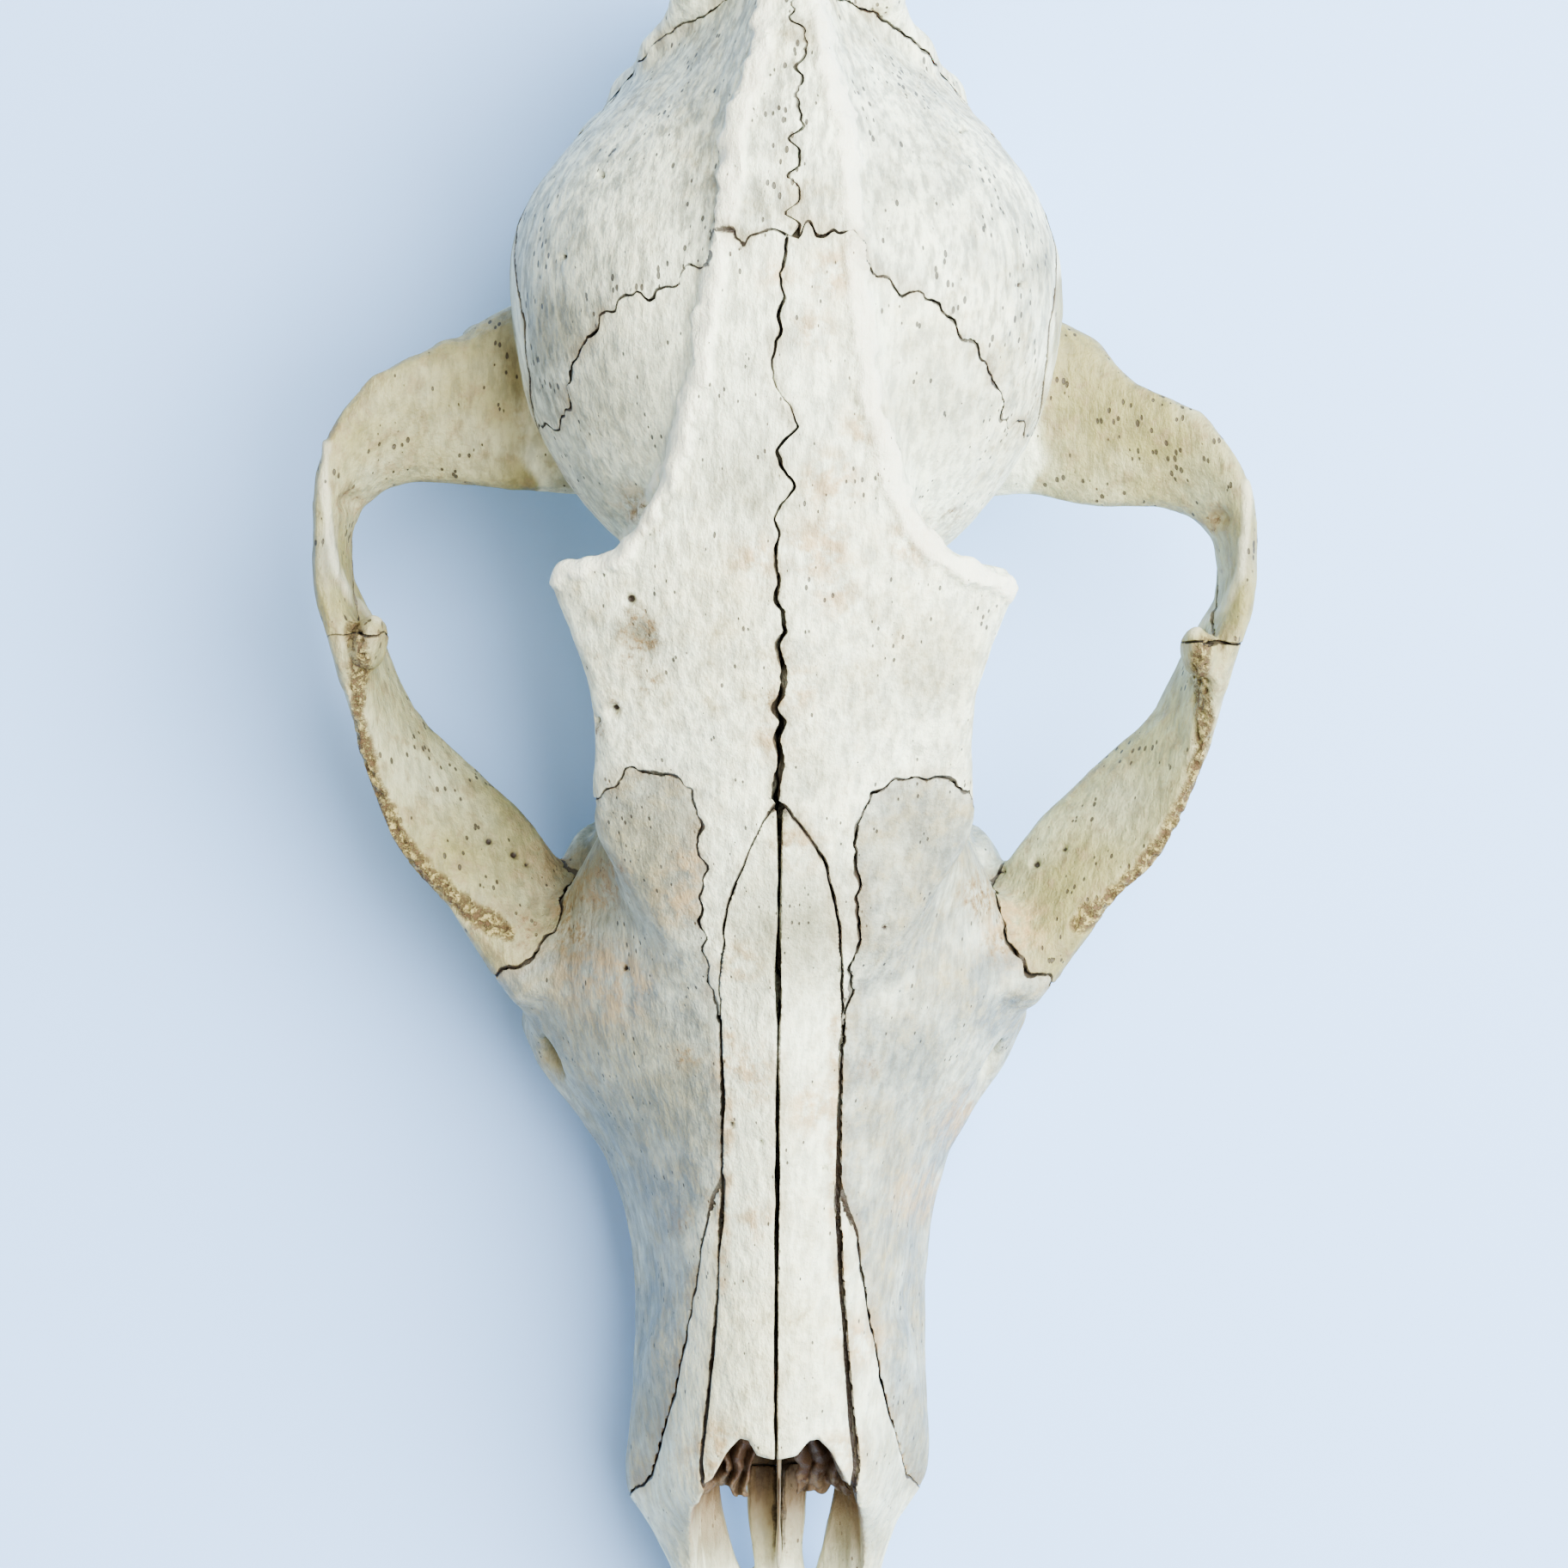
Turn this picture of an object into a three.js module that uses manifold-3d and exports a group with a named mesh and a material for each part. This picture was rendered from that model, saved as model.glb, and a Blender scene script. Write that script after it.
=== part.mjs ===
// Skull of a fox without its lower jaw, life size, in millimetres.
// +Z is up, x = 0 is the midline, the snout points to -Y and the occiput to +Y.
// The skull is one smooth form, described by how far any point lies from its surface.
// That surface is sampled, thinned to fewer faces, given its teeth, and then parted into its bones
// along the sutures.
import * as THREE from "three";
import { mergeVertices } from "three/addons/utils/BufferGeometryUtils.js";
import { edgeTable, triTable } from "three/addons/objects/MarchingCubes.js";
import Module from "manifold-3d";

// Driving dimensions
const SNOUT_TIP_Y = -72.6;
const NASAL_TIP_Y = -57;
const NASION_Y = -1.8;
const LAMBDA_Y = 61.8;
const INION = [0, 71, 41];
const BRAINCASE_HALF_WIDTH = 22.3;
const BRAINCASE_Y = 39.5;
const BRAINCASE_Z = 29.5;
const BULLA = { x: 11.4, y: 43, z: 8.5, width: 7.2, length: 10.3, height: 8.85 };
const ALVEOLAR_Z = 7.2;
const SUTURE_GAP = 0.3;
const MIDLINE_GAP = 0.36;

// Fineness of the sampled surface
const GRID = 0.85;
const SURFACE_FACES = 7700;

const SIDES = { left: -1, right: 1 };
const BONE_COLOUR = 0xe9e6dc;
const ARCH_COLOUR = 0xdfd5b8;
const INNER_COLOUR = 0xa98f6c;

const wasm = await Module();
wasm.setup();
const { clamp, degToRad, lerp } = THREE.MathUtils;

// Distances: negative inside a form, positive outside it

// The nearer of two forms, with a fillet of about `blend` where they meet.
function join(a, b, blend) {
  const mix = clamp(0.5 + (0.5 * (b - a)) / blend, 0, 1);
  return lerp(b, a, mix) - blend * mix * (1 - mix);
}

// The first form with the second taken out of it, the edge rounded by about `blend`.
function carve(a, b, blend) {
  return -join(-a, b, blend);
}

function ellipsoid(x, y, z, centre, radii) {
  const dx = x - centre[0];
  const dy = y - centre[1];
  const dz = z - centre[2];
  const near = Math.hypot(dx / radii[0], dy / radii[1], dz / radii[2]);
  if (near < 1e-6) return -Math.min(...radii);
  const slope = Math.hypot(dx / radii[0] ** 2, dy / radii[1] ** 2, dz / radii[2] ** 2);
  return (near * (near - 1)) / slope;
}

// A rod between two points, its radius changing evenly from one end to the other.
function rod(x, y, z, from, to, radiusFrom, radiusTo) {
  const along = [to[0] - from[0], to[1] - from[1], to[2] - from[2]];
  const offset = [x - from[0], y - from[1], z - from[2]];
  const span = along[0] ** 2 + along[1] ** 2 + along[2] ** 2;
  const t = clamp((offset[0] * along[0] + offset[1] * along[1] + offset[2] * along[2]) / span, 0, 1);
  const gap = Math.hypot(offset[0] - t * along[0], offset[1] - t * along[1], offset[2] - t * along[2]);
  return gap - lerp(radiusFrom, radiusTo, t);
}

function roundedBox(x, y, z, centre, half, radius) {
  const qx = Math.abs(x - centre[0]) - half[0] + radius;
  const qy = Math.abs(y - centre[1]) - half[1] + radius;
  const qz = Math.abs(z - centre[2]) - half[2] + radius;
  const outside = Math.hypot(Math.max(qx, 0), Math.max(qy, 0), Math.max(qz, 0));
  return outside + Math.min(Math.max(qx, qy, qz), 0) - radius;
}

// A cross-section, wider or higher by its own exponent: 2 is an ellipse, less is more peaked.
function crossSection(x, z, half, wideZ, topZ, baseZ, exponent) {
  const height = z > wideZ ? topZ - wideZ : wideZ - baseZ;
  const across = Math.abs(x) / half;
  const up = Math.abs(z - wideZ) / height;
  const near = (across ** exponent + up ** exponent) ** (1 / exponent);
  if (near < 1e-4) return -Math.min(half, height);
  return Math.hypot(x, z - wideZ) * (1 - 1 / near);
}

// Smooth values between stations along the skull: each row is [y, value, value, ...].
function stationAt(rows, y) {
  const last = rows.length - 1;
  if (y <= rows[0][0]) return rows[0].slice(1);
  if (y >= rows[last][0]) return rows[last].slice(1);
  const i = rows.findIndex((row) => row[0] > y);
  const [a, b] = [rows[i - 1], rows[i]];
  const before = rows[Math.max(i - 2, 0)];
  const after = rows[Math.min(i + 1, last)];
  const span = b[0] - a[0];
  const t = (y - a[0]) / span;
  return a.slice(1).map((value, k) => {
    const column = k + 1;
    const leaving = ((b[column] - before[column]) / (b[0] - before[0])) * span;
    const arriving = ((after[column] - a[column]) / (after[0] - a[0])) * span;
    return (
      value * (2 * t ** 3 - 3 * t ** 2 + 1) +
      leaving * (t ** 3 - 2 * t ** 2 + t) +
      b[column] * (3 * t ** 2 - 2 * t ** 3) +
      arriving * (t ** 3 - t ** 2)
    );
  });
}

// Signed distance in plan from a closed outline of [x, y] points.
function outlineDistance(outline, x, y) {
  let nearest = Infinity;
  let inside = false;
  for (let i = 0, j = outline.length - 1; i < outline.length; j = i++) {
    const [ax, ay] = outline[j];
    const [bx, by] = outline[i];
    const t = clamp(((x - ax) * (bx - ax) + (y - ay) * (by - ay)) / ((bx - ax) ** 2 + (by - ay) ** 2), 0, 1);
    nearest = Math.min(nearest, Math.hypot(x - lerp(ax, bx, t), y - lerp(ay, by, t)));
    if (ay > y !== by > y && x < ((bx - ax) * (y - ay)) / (by - ay) + ax) inside = !inside;
  }
  return inside ? -nearest : nearest;
}

function smoothLine(points, count) {
  const curve = new THREE.SplineCurve(points.map(([x, y]) => new THREE.Vector2(x, y)));
  return curve.getPoints(count).map((point) => [point.x, point.y]);
}

// The form of the skull, given for x >= 0: the other side is nearly its mirror

// The face: [y, half width, height of the widest level, top, exponent]
const FACE_BASE_Z = 8;
const FACE = [
  [-72.6, 3.4, 9.5, 11.5, 2],
  [-71, 5.8, 10, 13.2, 2],
  [-68, 7.2, 10.5, 16.4, 2],
  [-63, 8.6, 11, 22, 2],
  [-58, 10.4, 12, 27, 2.1],
  [-52, 11.2, 12, 28.6, 2.1],
  [-42, 11.2, 12, 30.6, 2],
  [-35, 12.1, 12.5, 32, 1.9],
  [-28, 14.6, 13.5, 33.6, 1.65],
  [-22, 18.6, 15, 35.2, 1.5],
  [-17, 20.6, 17, 36.4, 1.42],
  [-11, 18.6, 19, 37.6, 1.5],
  [-4, 15, 24, 39, 1.9],
  [3, 11, 30, 40.5, 2],
];
// The bone that holds the teeth: [y, half width], round about one level
const JAW_MID_Z = 12;
const JAW_HALF_HEIGHT = 5;
const JAW_EXPONENT = 2.8;
const JAW = [
  [-73, 4],
  [-71, 6.4],
  [-68, 7.6],
  [-63, 8.8],
  [-59, 10.4],
  [-55, 11.5],
  [-50, 11.8],
  [-42, 11.5],
  [-36, 12],
  [-31, 13.2],
  [-27, 15.9],
  [-23, 18.9],
  [-19, 20.6],
  [-13, 20.4],
  [-7, 18.6],
  [-2, 16],
  [3, 11.6],
];
// The column between the orbits, down to the base: [y, half width, base, top]
const COLUMN_MID_Z = 26;
const COLUMN_EXPONENT = 3;
const COLUMN = [
  [-14, 9, 9, 35],
  [-5, 10, 9, 39],
  [3, 8.6, 10, 41],
  [10, 7.8, 11, 43],
  [16, 8, 12, 44],
  [22, 10, 12, 45],
  [30, 13, 12, 45],
];
// The roof of the skull: its height along the midline and its outline in plan, where the orbits'
// upper rims end in the postorbital processes and the temporal ridges run back to the crest
const ROOF_HEIGHT = [
  [-14, 36.3],
  [-8, 37.8],
  [0, 40.7],
  [8, 44.2],
  [16, 46.8],
  [25, 48.1],
  [40, 49.6],
  [50, 49.2],
  [60, 46.8],
  [68, 43.2],
  [73, 40],
];
const ROOF_FALL = 5.2;
const ROOF_FALL_AT = 18;
const ROOF_THICKNESS = 7.5;
const ROOF_RIM = 2.4;
const ORBIT_RIM = [
  [9, -13],
  [12.6, -8],
  [15.2, -3],
  [14.9, 3],
  [15.4, 8],
  [16.9, 12],
  [18.4, 15.4],
];
const POSTORBITAL_EDGE = [
  [17.9, 17],
  [14.6, 17.6],
  [12.2, 18.8],
  [10.2, 21.5],
  [8.4, 27],
  [7, 32],
  [5.9, 40],
  [4.9, 48],
  [3.4, 56],
  [1.6, 64],
  [1, 71],
];
const ROOF_OUTLINE = [
  ...smoothLine(ORBIT_RIM, 14),
  ...smoothLine(POSTORBITAL_EDGE, 24),
  [-3, 71],
  [-3, -13],
];

const BRAINCASE_FRONT = 25;
const BRAINCASE_BACK = 18.8;
const BRAINCASE_UP = 19.3;
const BRAINCASE_DOWN = 17.2;

// The zygomatic arch, from the temporal bone round to the cheek. A blade follows it:
// [x, y, z, tilt of its inner face from level, half breadth, half thickness]
const ARCH = [
  [12, 31.5, 19.5, 5, 8, 4],
  [20, 31, 20.5, 8, 7.4, 2.7],
  [26.4, 28.3, 22, 14, 5.7, 1.9],
  [32.2, 26.5, 23.2, 30, 4.6, 1.5],
  [35.7, 23, 23.6, 58, 3.9, 1.25],
  [36.9, 19, 23.2, 78, 3.9, 1.1],
  [36.7, 15, 22.6, 80, 4.5, 1.1],
  [35.2, 11.2, 21.8, 74, 5, 1.2],
  [33.8, 7.5, 20.7, 70, 4.9, 1.2],
  [32.4, 4, 19.9, 60, 4.8, 1.25],
  [30.2, 0.6, 19.3, 48, 5.2, 1.3],
  [27.6, -2.8, 18.9, 40, 5.7, 1.4],
  [24, -6.5, 18.6, 38, 5.4, 1.6],
  [21, -10.7, 18.2, 44, 5.4, 2.2],
  [17.4, -15, 18, 50, 5.6, 3],
];
const ARCH_STEPS = 36;
const ARCH_EXPONENT = 2.6;
// A distance that stands for everything too far off to matter
const FAR = 12;

function archBlade() {
  const positions = new THREE.CatmullRomCurve3(ARCH.map(([x, y, z]) => new THREE.Vector3(x, y, z)));
  const shapes = new THREE.CatmullRomCurve3(ARCH.map((row) => new THREE.Vector3(row[3], row[4], row[5])));
  const up = new THREE.Vector3(0, 0, 1);
  return Array.from({ length: ARCH_STEPS + 1 }, (_, step) => {
    const t = step / ARCH_STEPS;
    const shape = shapes.getPoint(t);
    const forward = positions.getTangent(t);
    const inward = new THREE.Vector3().crossVectors(forward, up).normalize();
    const tilt = degToRad(shape.x);
    const normal = inward.multiplyScalar(Math.sin(tilt)).addScaledVector(up, Math.cos(tilt));
    const breadth = new THREE.Vector3().crossVectors(normal, forward).normalize();
    return { at: positions.getPoint(t), forward, normal, breadth, long: shape.y, thick: shape.z };
  });
}
const ARCH_BLADE = archBlade();

// Distance from the arch: the point is set against the blade's section between its two nearest stations.
function arch(x, y, z) {
  if (x < 9 || z < 8 || z > 34 || y < -26 || y > 45) return FAR;
  let nearest = Infinity;
  let found = 0;
  for (let i = 0; i <= ARCH_STEPS; i++) {
    const { at } = ARCH_BLADE[i];
    const gap = (x - at.x) ** 2 + (y - at.y) ** 2 + (z - at.z) ** 2;
    if (gap < nearest) [nearest, found] = [gap, i];
  }
  const here = ARCH_BLADE[found];
  const along = offsetAlong(here, here.forward, x, y, z);
  const next = ARCH_BLADE[clamp(found + Math.sign(along), 0, ARCH_STEPS)];
  const stride = next === here ? 1 : next.at.distanceTo(here.at);
  const t = next === here ? 0 : clamp(Math.abs(along) / stride, 0, 1);
  const across = lerp(offsetAlong(here, here.breadth, x, y, z), offsetAlong(next, next.breadth, x, y, z), t);
  const through = lerp(offsetAlong(here, here.normal, x, y, z), offsetAlong(next, next.normal, x, y, z), t);
  const thick = lerp(here.thick, next.thick, t);
  const long = lerp(here.long, next.long, t);
  const section = crossSection(across, through, long, 0, thick, -thick, ARCH_EXPONENT);
  const beyond = next === here ? Math.abs(along) : Math.max(Math.abs(along) - stride, 0);
  return beyond > 0 ? Math.hypot(Math.max(section, 0), beyond) : section;
}

function offsetAlong({ at }, direction, x, y, z) {
  return (x - at.x) * direction.x + (y - at.y) * direction.y + (z - at.z) * direction.z;
}

// The occiput: [y, half width, height of the widest level, top, base, exponent]
const OCCIPUT = [
  [46, 17, 22, 47.5, 12, 2],
  [52, 16.4, 20, 47.9, 11.5, 1.8],
  [56, 14.4, 19, 47.3, 11.5, 1.6],
  [60, 11.8, 18.5, 46.2, 11.5, 1.5],
  [64, 9.6, 18, 44.6, 12, 1.45],
  [67, 8.2, 20, 43.2, 13, 1.45],
  [69.5, 5.6, 31, 42.2, 22, 1.5],
  [71.6, 2.4, 38.5, 41.2, 35, 1.8],
];
// Ridge of the nuchal crest, from behind the ear up to the inion
const NUCHAL_CREST = [
  [15, 53, 18.5],
  [12.7, 56, 26],
  [10.4, 58.4, 32],
  [7.5, 62.6, 36.8],
  [4.1, 67.6, 40],
  INION,
];
const NUCHAL_RADIUS = 1.1;
// Rounded knobs as [centre, radii], spurs as [from, to, radius, radius]
const CONDYLE = [[6.2, 68.4, 16.2], [4, 5, 5.2]];
const MASTOID = [[15.4, 51.4, 15.5], [2.7, 3.2, 5]];
const PAROCCIPITAL = [[12.6, 54.4, 15], [12.8, 56.2, 3.8], 3, 1.5];
const POSTGLENOID = [[22.5, 35.4, 17.5], [4.4, 1.9, 5]];
const JUGAL_HORN = [[33.4, 10.8, 26], [1.7, 2.2, 2.6]];
const CANINE_ROOT = [[9.5, -57, 11.5], [8.7, -46, 20], 2.8, 1.6];
// The thick base under the braincase: [centre, half sizes, rounding]
const BRAINCASE_BASE = [[0, 42, 18], [9.5, 22, 5.5], 4];

function occiput(x, y, z) {
  if (y < 38 || z < -2) return FAR;
  const [half, wide, top, base, exponent] = stationAt(OCCIPUT, y);
  const ends = Math.max(OCCIPUT[0][0] - y, y - OCCIPUT.at(-1)[0]);
  let form = Math.max(crossSection(x, z, half, wide, top, base, exponent), ends);
  for (let i = 1; i < NUCHAL_CREST.length; i++) {
    const crest = rod(x, y, z, NUCHAL_CREST[i - 1], NUCHAL_CREST[i], NUCHAL_RADIUS, NUCHAL_RADIUS);
    form = join(form, crest, 2.2);
  }
  form = join(form, ellipsoid(x, y, z, ...CONDYLE), 2.5);
  form = join(form, rod(x, y, z, ...PAROCCIPITAL), 2.5);
  return join(form, ellipsoid(x, y, z, ...MASTOID), 3);
}

// The wing of bone on each side of the way out of the nose, ending behind in a small hook
const WING_PLATE = [[6.8, 10.5, 12.6], [1, 11.5, 3.8], 0.9];
const WING_EDGE = [[7.6, -1, 9.2], [6.9, 8, 9.4], [6.6, 16, 9], [7, 21, 7.6], [7.3, 24.6, 5.8]];

function wing(x, y, z) {
  let form = roundedBox(x, y, z, ...WING_PLATE);
  for (let i = 1; i < WING_EDGE.length; i++) {
    form = join(form, rod(x, y, z, WING_EDGE[i - 1], WING_EDGE[i], 1.2, 1), 1);
  }
  return form;
}

// Hollows: rounded ones as [centre, radii], bores as [from, to, radius, radius]
const ORBIT = [[24.6, 4, 30], [9.6, 14.6, 11]];
const PALATE_VAULT = [[0, -28, 2.4], [8.4, 44, 6]];
const CHOANA = [[0, 7, 9], [0, 27, 7], 5, 5.4];
const FORAMEN_MAGNUM = [[0, 73, 20.5], [6.4, 9.5, 5.3]];
const INFRAORBITAL = [[18.8, -27, 16.4], [15.5, -18, 17.6], 1.5, 1.3];
const EAR = [[21, 43.6, 12.6], [14, 43, 12.6], 2.3, 2];
const CANINE_SOCKET = [[10.4, -61, 4], [9.7, -56.6, 12], 2.2, 1.9];

function hollows(form, x, y, z) {
  form = carve(form, ellipsoid(x, y, z, ...ORBIT), 1.2);
  form = carve(form, ellipsoid(x, y, z, ...PALATE_VAULT), 1.2);
  form = carve(form, rod(x, y, z, ...CHOANA), 1.2);
  form = carve(form, ellipsoid(x, y, z, ...FORAMEN_MAGNUM), 1);
  form = carve(form, rod(x, y, z, ...INFRAORBITAL), 0.8);
  form = carve(form, rod(x, y, z, ...EAR), 0.8);
  form = carve(form, rod(x, y, z, ...CANINE_SOCKET), 0.7);
  return carve(form, nasalCavity(x, y, z), 0.8);
}

// The nasal cavity: open in front, its floor pierced by the palatine fissures, with the scrolls of
// the turbinates at the back
const CAVITY = { half: 6.3, midZ: 18.6, up: 7.6, down: 7.4, backY: -45.5 };
const TURBINATE = { x: 3.3, y: -50, z: 18.5, width: 1.7, length: 6, height: 5.4 };
const FISSURE = [[3.9, -57, 9], [2.6, -66, 9]];

function nasalCavity(x, y, z) {
  const { half, midZ, up, down, backY } = CAVITY;
  const tube = crossSection(x, z, half, midZ, midZ + up, midZ - down, 3);
  const closed = Math.max(tube, y - backY);
  const { x: across, y: along, z: high, width, length, height } = TURBINATE;
  const turbinate = ellipsoid(x, y, z, [across, along, high], [width, length, height]);
  const hollow = carve(closed, turbinate, 0.8);
  const fissure = rod(x, y, z * 0.2 + FISSURE[0][2] * 0.8, ...FISSURE, 1.25, 0.8);
  return Math.min(hollow, fissure);
}

// This skull is a little uneven: its left arch is drawn out more, fore and aft, than the right one,
// and its left side is wider at two places of the muzzle, given as [y, reach, share].
const STRETCH_FORWARD = 0.045;
const STRETCH_BACKWARD = 0.1;
const STRETCH_CENTRE_Y = 8;
const STRETCH_FROM_X = 19;
const STRETCH_TO_X = 27;
const LEFT_SWELLINGS = [[-26, 9, 0.1], [-61.5, 4, 0.12]];

function evened(signedX, signedY) {
  if (signedX >= 0) return [signedX, signedY];
  const stretch = signedY < STRETCH_CENTRE_Y ? STRETCH_FORWARD : STRETCH_BACKWARD;
  const share = THREE.MathUtils.smoothstep(-signedX, STRETCH_FROM_X, STRETCH_TO_X);
  const y = signedY - share * stretch * (signedY - STRETCH_CENTRE_Y);
  const wider = LEFT_SWELLINGS.reduce(
    (sum, [centre, reach, most]) => sum + most * Math.exp(-(((signedY - centre) / reach) ** 2)), 1);
  return [-signedX / wider, y];
}

// Everything that depends on x and y only is worked out once for a column of points.
function skullColumn(signedX, signedY) {
  const [x, y] = evened(signedX, signedY);
  const [faceHalf, faceWide, faceTop, faceExponent] = stationAt(FACE, y);
  const [jawHalf] = stationAt(JAW, y);
  const [columnHalf, columnBase, columnTop] = stationAt(COLUMN, y);
  const [roofHeight] = stationAt(ROOF_HEIGHT, y);
  const roofEdge = outlineDistance(ROOF_OUTLINE, x, y);
  const outward = Math.min(x / ROOF_FALL_AT, 1.2);
  const roofTop = roofHeight - ROOF_FALL * outward ** 2;
  const roofUnderside = roofTop - lerp(ROOF_THICKNESS, ROOF_RIM, Math.min(outward, 1));
  const frontPlane = SNOUT_TIP_Y - y;
  const braincaseLength = y < BRAINCASE_Y ? BRAINCASE_FRONT : BRAINCASE_BACK;
  return (z) => {
    const faceSection = crossSection(x, z, faceHalf, faceWide, faceTop, FACE_BASE_Z, faceExponent);
    const face = Math.max(faceSection, frontPlane, y - FACE.at(-1)[0]);
    const jawSection = crossSection(
      x, z, jawHalf, JAW_MID_Z, JAW_MID_Z + JAW_HALF_HEIGHT, JAW_MID_Z - JAW_HALF_HEIGHT, JAW_EXPONENT);
    const jaw = Math.max(jawSection, frontPlane, y - JAW.at(-1)[0]);
    let form = join(face, jaw, 3);
    const columnSection = crossSection(
      x, z, columnHalf, COLUMN_MID_Z, columnTop, columnBase, COLUMN_EXPONENT);
    const column = Math.max(columnSection, COLUMN[0][0] - y, y - COLUMN.at(-1)[0]);
    form = join(form, column, 4);
    const roof = -join(-roofEdge, -Math.max(z - roofTop, roofUnderside - z), 1.6);
    form = join(form, roof, 2.5);
    const braincaseHeight = z > BRAINCASE_Z ? BRAINCASE_UP : BRAINCASE_DOWN;
    const braincase = ellipsoid(
      x, y, z, [0, BRAINCASE_Y, BRAINCASE_Z], [BRAINCASE_HALF_WIDTH, braincaseLength, braincaseHeight]);
    form = join(form, braincase, 2);
    form = join(form, roundedBox(x, y, z, ...BRAINCASE_BASE), 3);
    form = join(form, occiput(x, y, z), 3);
    form = join(form, arch(x, y, z), 3);
    form = join(form, ellipsoid(x, y, z, ...POSTGLENOID), 2.2);
    form = join(form, ellipsoid(x, y, z, ...JUGAL_HORN), 1.5);
    form = join(form, rod(x, y, z, ...CANINE_ROOT), 2.5);
    form = join(form, wing(x, y, z), 1.6);
    const { x: bx, y: by, z: bz, width, length, height } = BULLA;
    form = join(form, ellipsoid(x, y, z, [bx, by, bz], [width, length, height]), 1);
    return hollows(form, x, y, z);
  };
}

// Sampling: the surface where the distance is zero, on a grid of cubes

const BOUNDS = { x: [-41, 41], y: [-74, 78], z: [-2, 52] };
const FIELD_FLOOR = 1e-4;

function sampleSurface() {
  const [nx, ny, nz] = [BOUNDS.x, BOUNDS.y, BOUNDS.z].map(([low, high]) => Math.ceil((high - low) / GRID) + 1);
  const values = new Float32Array(nx * ny * nz);
  const at = (i, j, k) => i + nx * (j + ny * k);
  const originX = -((nx - 1) * GRID) / 2;
  for (let j = 0; j < ny; j++) {
    for (let i = 0; i < nx; i++) {
      const column = skullColumn(originX + i * GRID, BOUNDS.y[0] + j * GRID);
      for (let k = 0; k < nz; k++) {
        const distance = column(BOUNDS.z[0] + k * GRID);
        const value = Math.abs(distance) < FIELD_FLOOR ? FIELD_FLOOR : distance;
        values[at(i, j, k)] = value;
      }
    }
  }
  const positions = [];
  const triangles = [];
  const known = new Map();
  // Corners of a cube in the order of the tables, and the two corners of each of its edges
  const foot = [[0, 0], [1, 0], [1, 1], [0, 1]];
  const corners = [0, 1].flatMap((level) => foot.map(([dx, dy]) => [dx, dy, level]));
  const ring = (first) => [0, 1, 2, 3].map((step) => [first + step, first + ((step + 1) % 4)]);
  const edges = [...ring(0), ...ring(4), ...[0, 1, 2, 3].map((corner) => [corner, corner + 4])];
  const crossing = (i, j, k, edge) => {
    const [a, b] = edges[edge].map((corner) => corners[corner].map((step, axis) => [i, j, k][axis] + step));
    const [start, end] = [at(...a), at(...b)].sort((p, q) => p - q);
    const key = start * 3 + (end - start === 1 ? 0 : end - start === nx ? 1 : 2);
    if (!known.has(key)) {
      const t = values[at(...a)] / (values[at(...a)] - values[at(...b)]);
      known.set(key, positions.length / 3);
      positions.push(
        originX + GRID * lerp(a[0], b[0], t),
        BOUNDS.y[0] + GRID * lerp(a[1], b[1], t),
        BOUNDS.z[0] + GRID * lerp(a[2], b[2], t));
    }
    return known.get(key);
  };
  for (let k = 0; k < nz - 1; k++) {
    for (let j = 0; j < ny - 1; j++) {
      for (let i = 0; i < nx - 1; i++) {
        let cube = 0;
        corners.forEach(([dx, dy, dz], corner) => {
          if (values[at(i + dx, j + dy, k + dz)] > 0) cube |= 1 << corner;
        });
        if (!edgeTable[cube]) continue;
        for (let entry = cube * 16; triTable[entry] !== -1; entry += 3) {
          const [a, b, c] = [0, 1, 2].map((step) => crossing(i, j, k, triTable[entry + step]));
          triangles.push(a, b, c);
        }
      }
    }
  }
  return { positions, triangles };
}

// Thinning: the edge whose removal moves the surface least is closed up, again and again

// Entries of a heap are [cost, from, to, stamp of from, stamp of to, x, y, z], the least cost on top.
function pushEntry(heap, entry) {
  let i = heap.push(entry) - 1;
  while (i > 0 && entry[0] < heap[(i - 1) >> 1][0]) {
    heap[i] = heap[(i - 1) >> 1];
    i = (i - 1) >> 1;
  }
  heap[i] = entry;
}

function popEntry(heap) {
  const top = heap[0];
  const moved = heap.pop();
  if (heap.length === 0) return top;
  let i = 0;
  for (;;) {
    let child = 2 * i + 1;
    if (child >= heap.length) break;
    if (child + 1 < heap.length && heap[child + 1][0] < heap[child][0]) child += 1;
    if (heap[child][0] >= moved[0]) break;
    heap[i] = heap[child];
    i = child;
  }
  heap[i] = moved;
  return top;
}

// The squared distances of a point from the planes round a vertex are kept as ten sums.
const SUMS = 10;

function addPlane(sums, vertex, a, b, c, d, weight) {
  const at = vertex * SUMS;
  sums[at] += weight * a * a;
  sums[at + 1] += weight * a * b;
  sums[at + 2] += weight * a * c;
  sums[at + 3] += weight * a * d;
  sums[at + 4] += weight * b * b;
  sums[at + 5] += weight * b * c;
  sums[at + 6] += weight * b * d;
  sums[at + 7] += weight * c * c;
  sums[at + 8] += weight * c * d;
  sums[at + 9] += weight * d * d;
}

const FLAT_SHARE = 1e-4;

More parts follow.
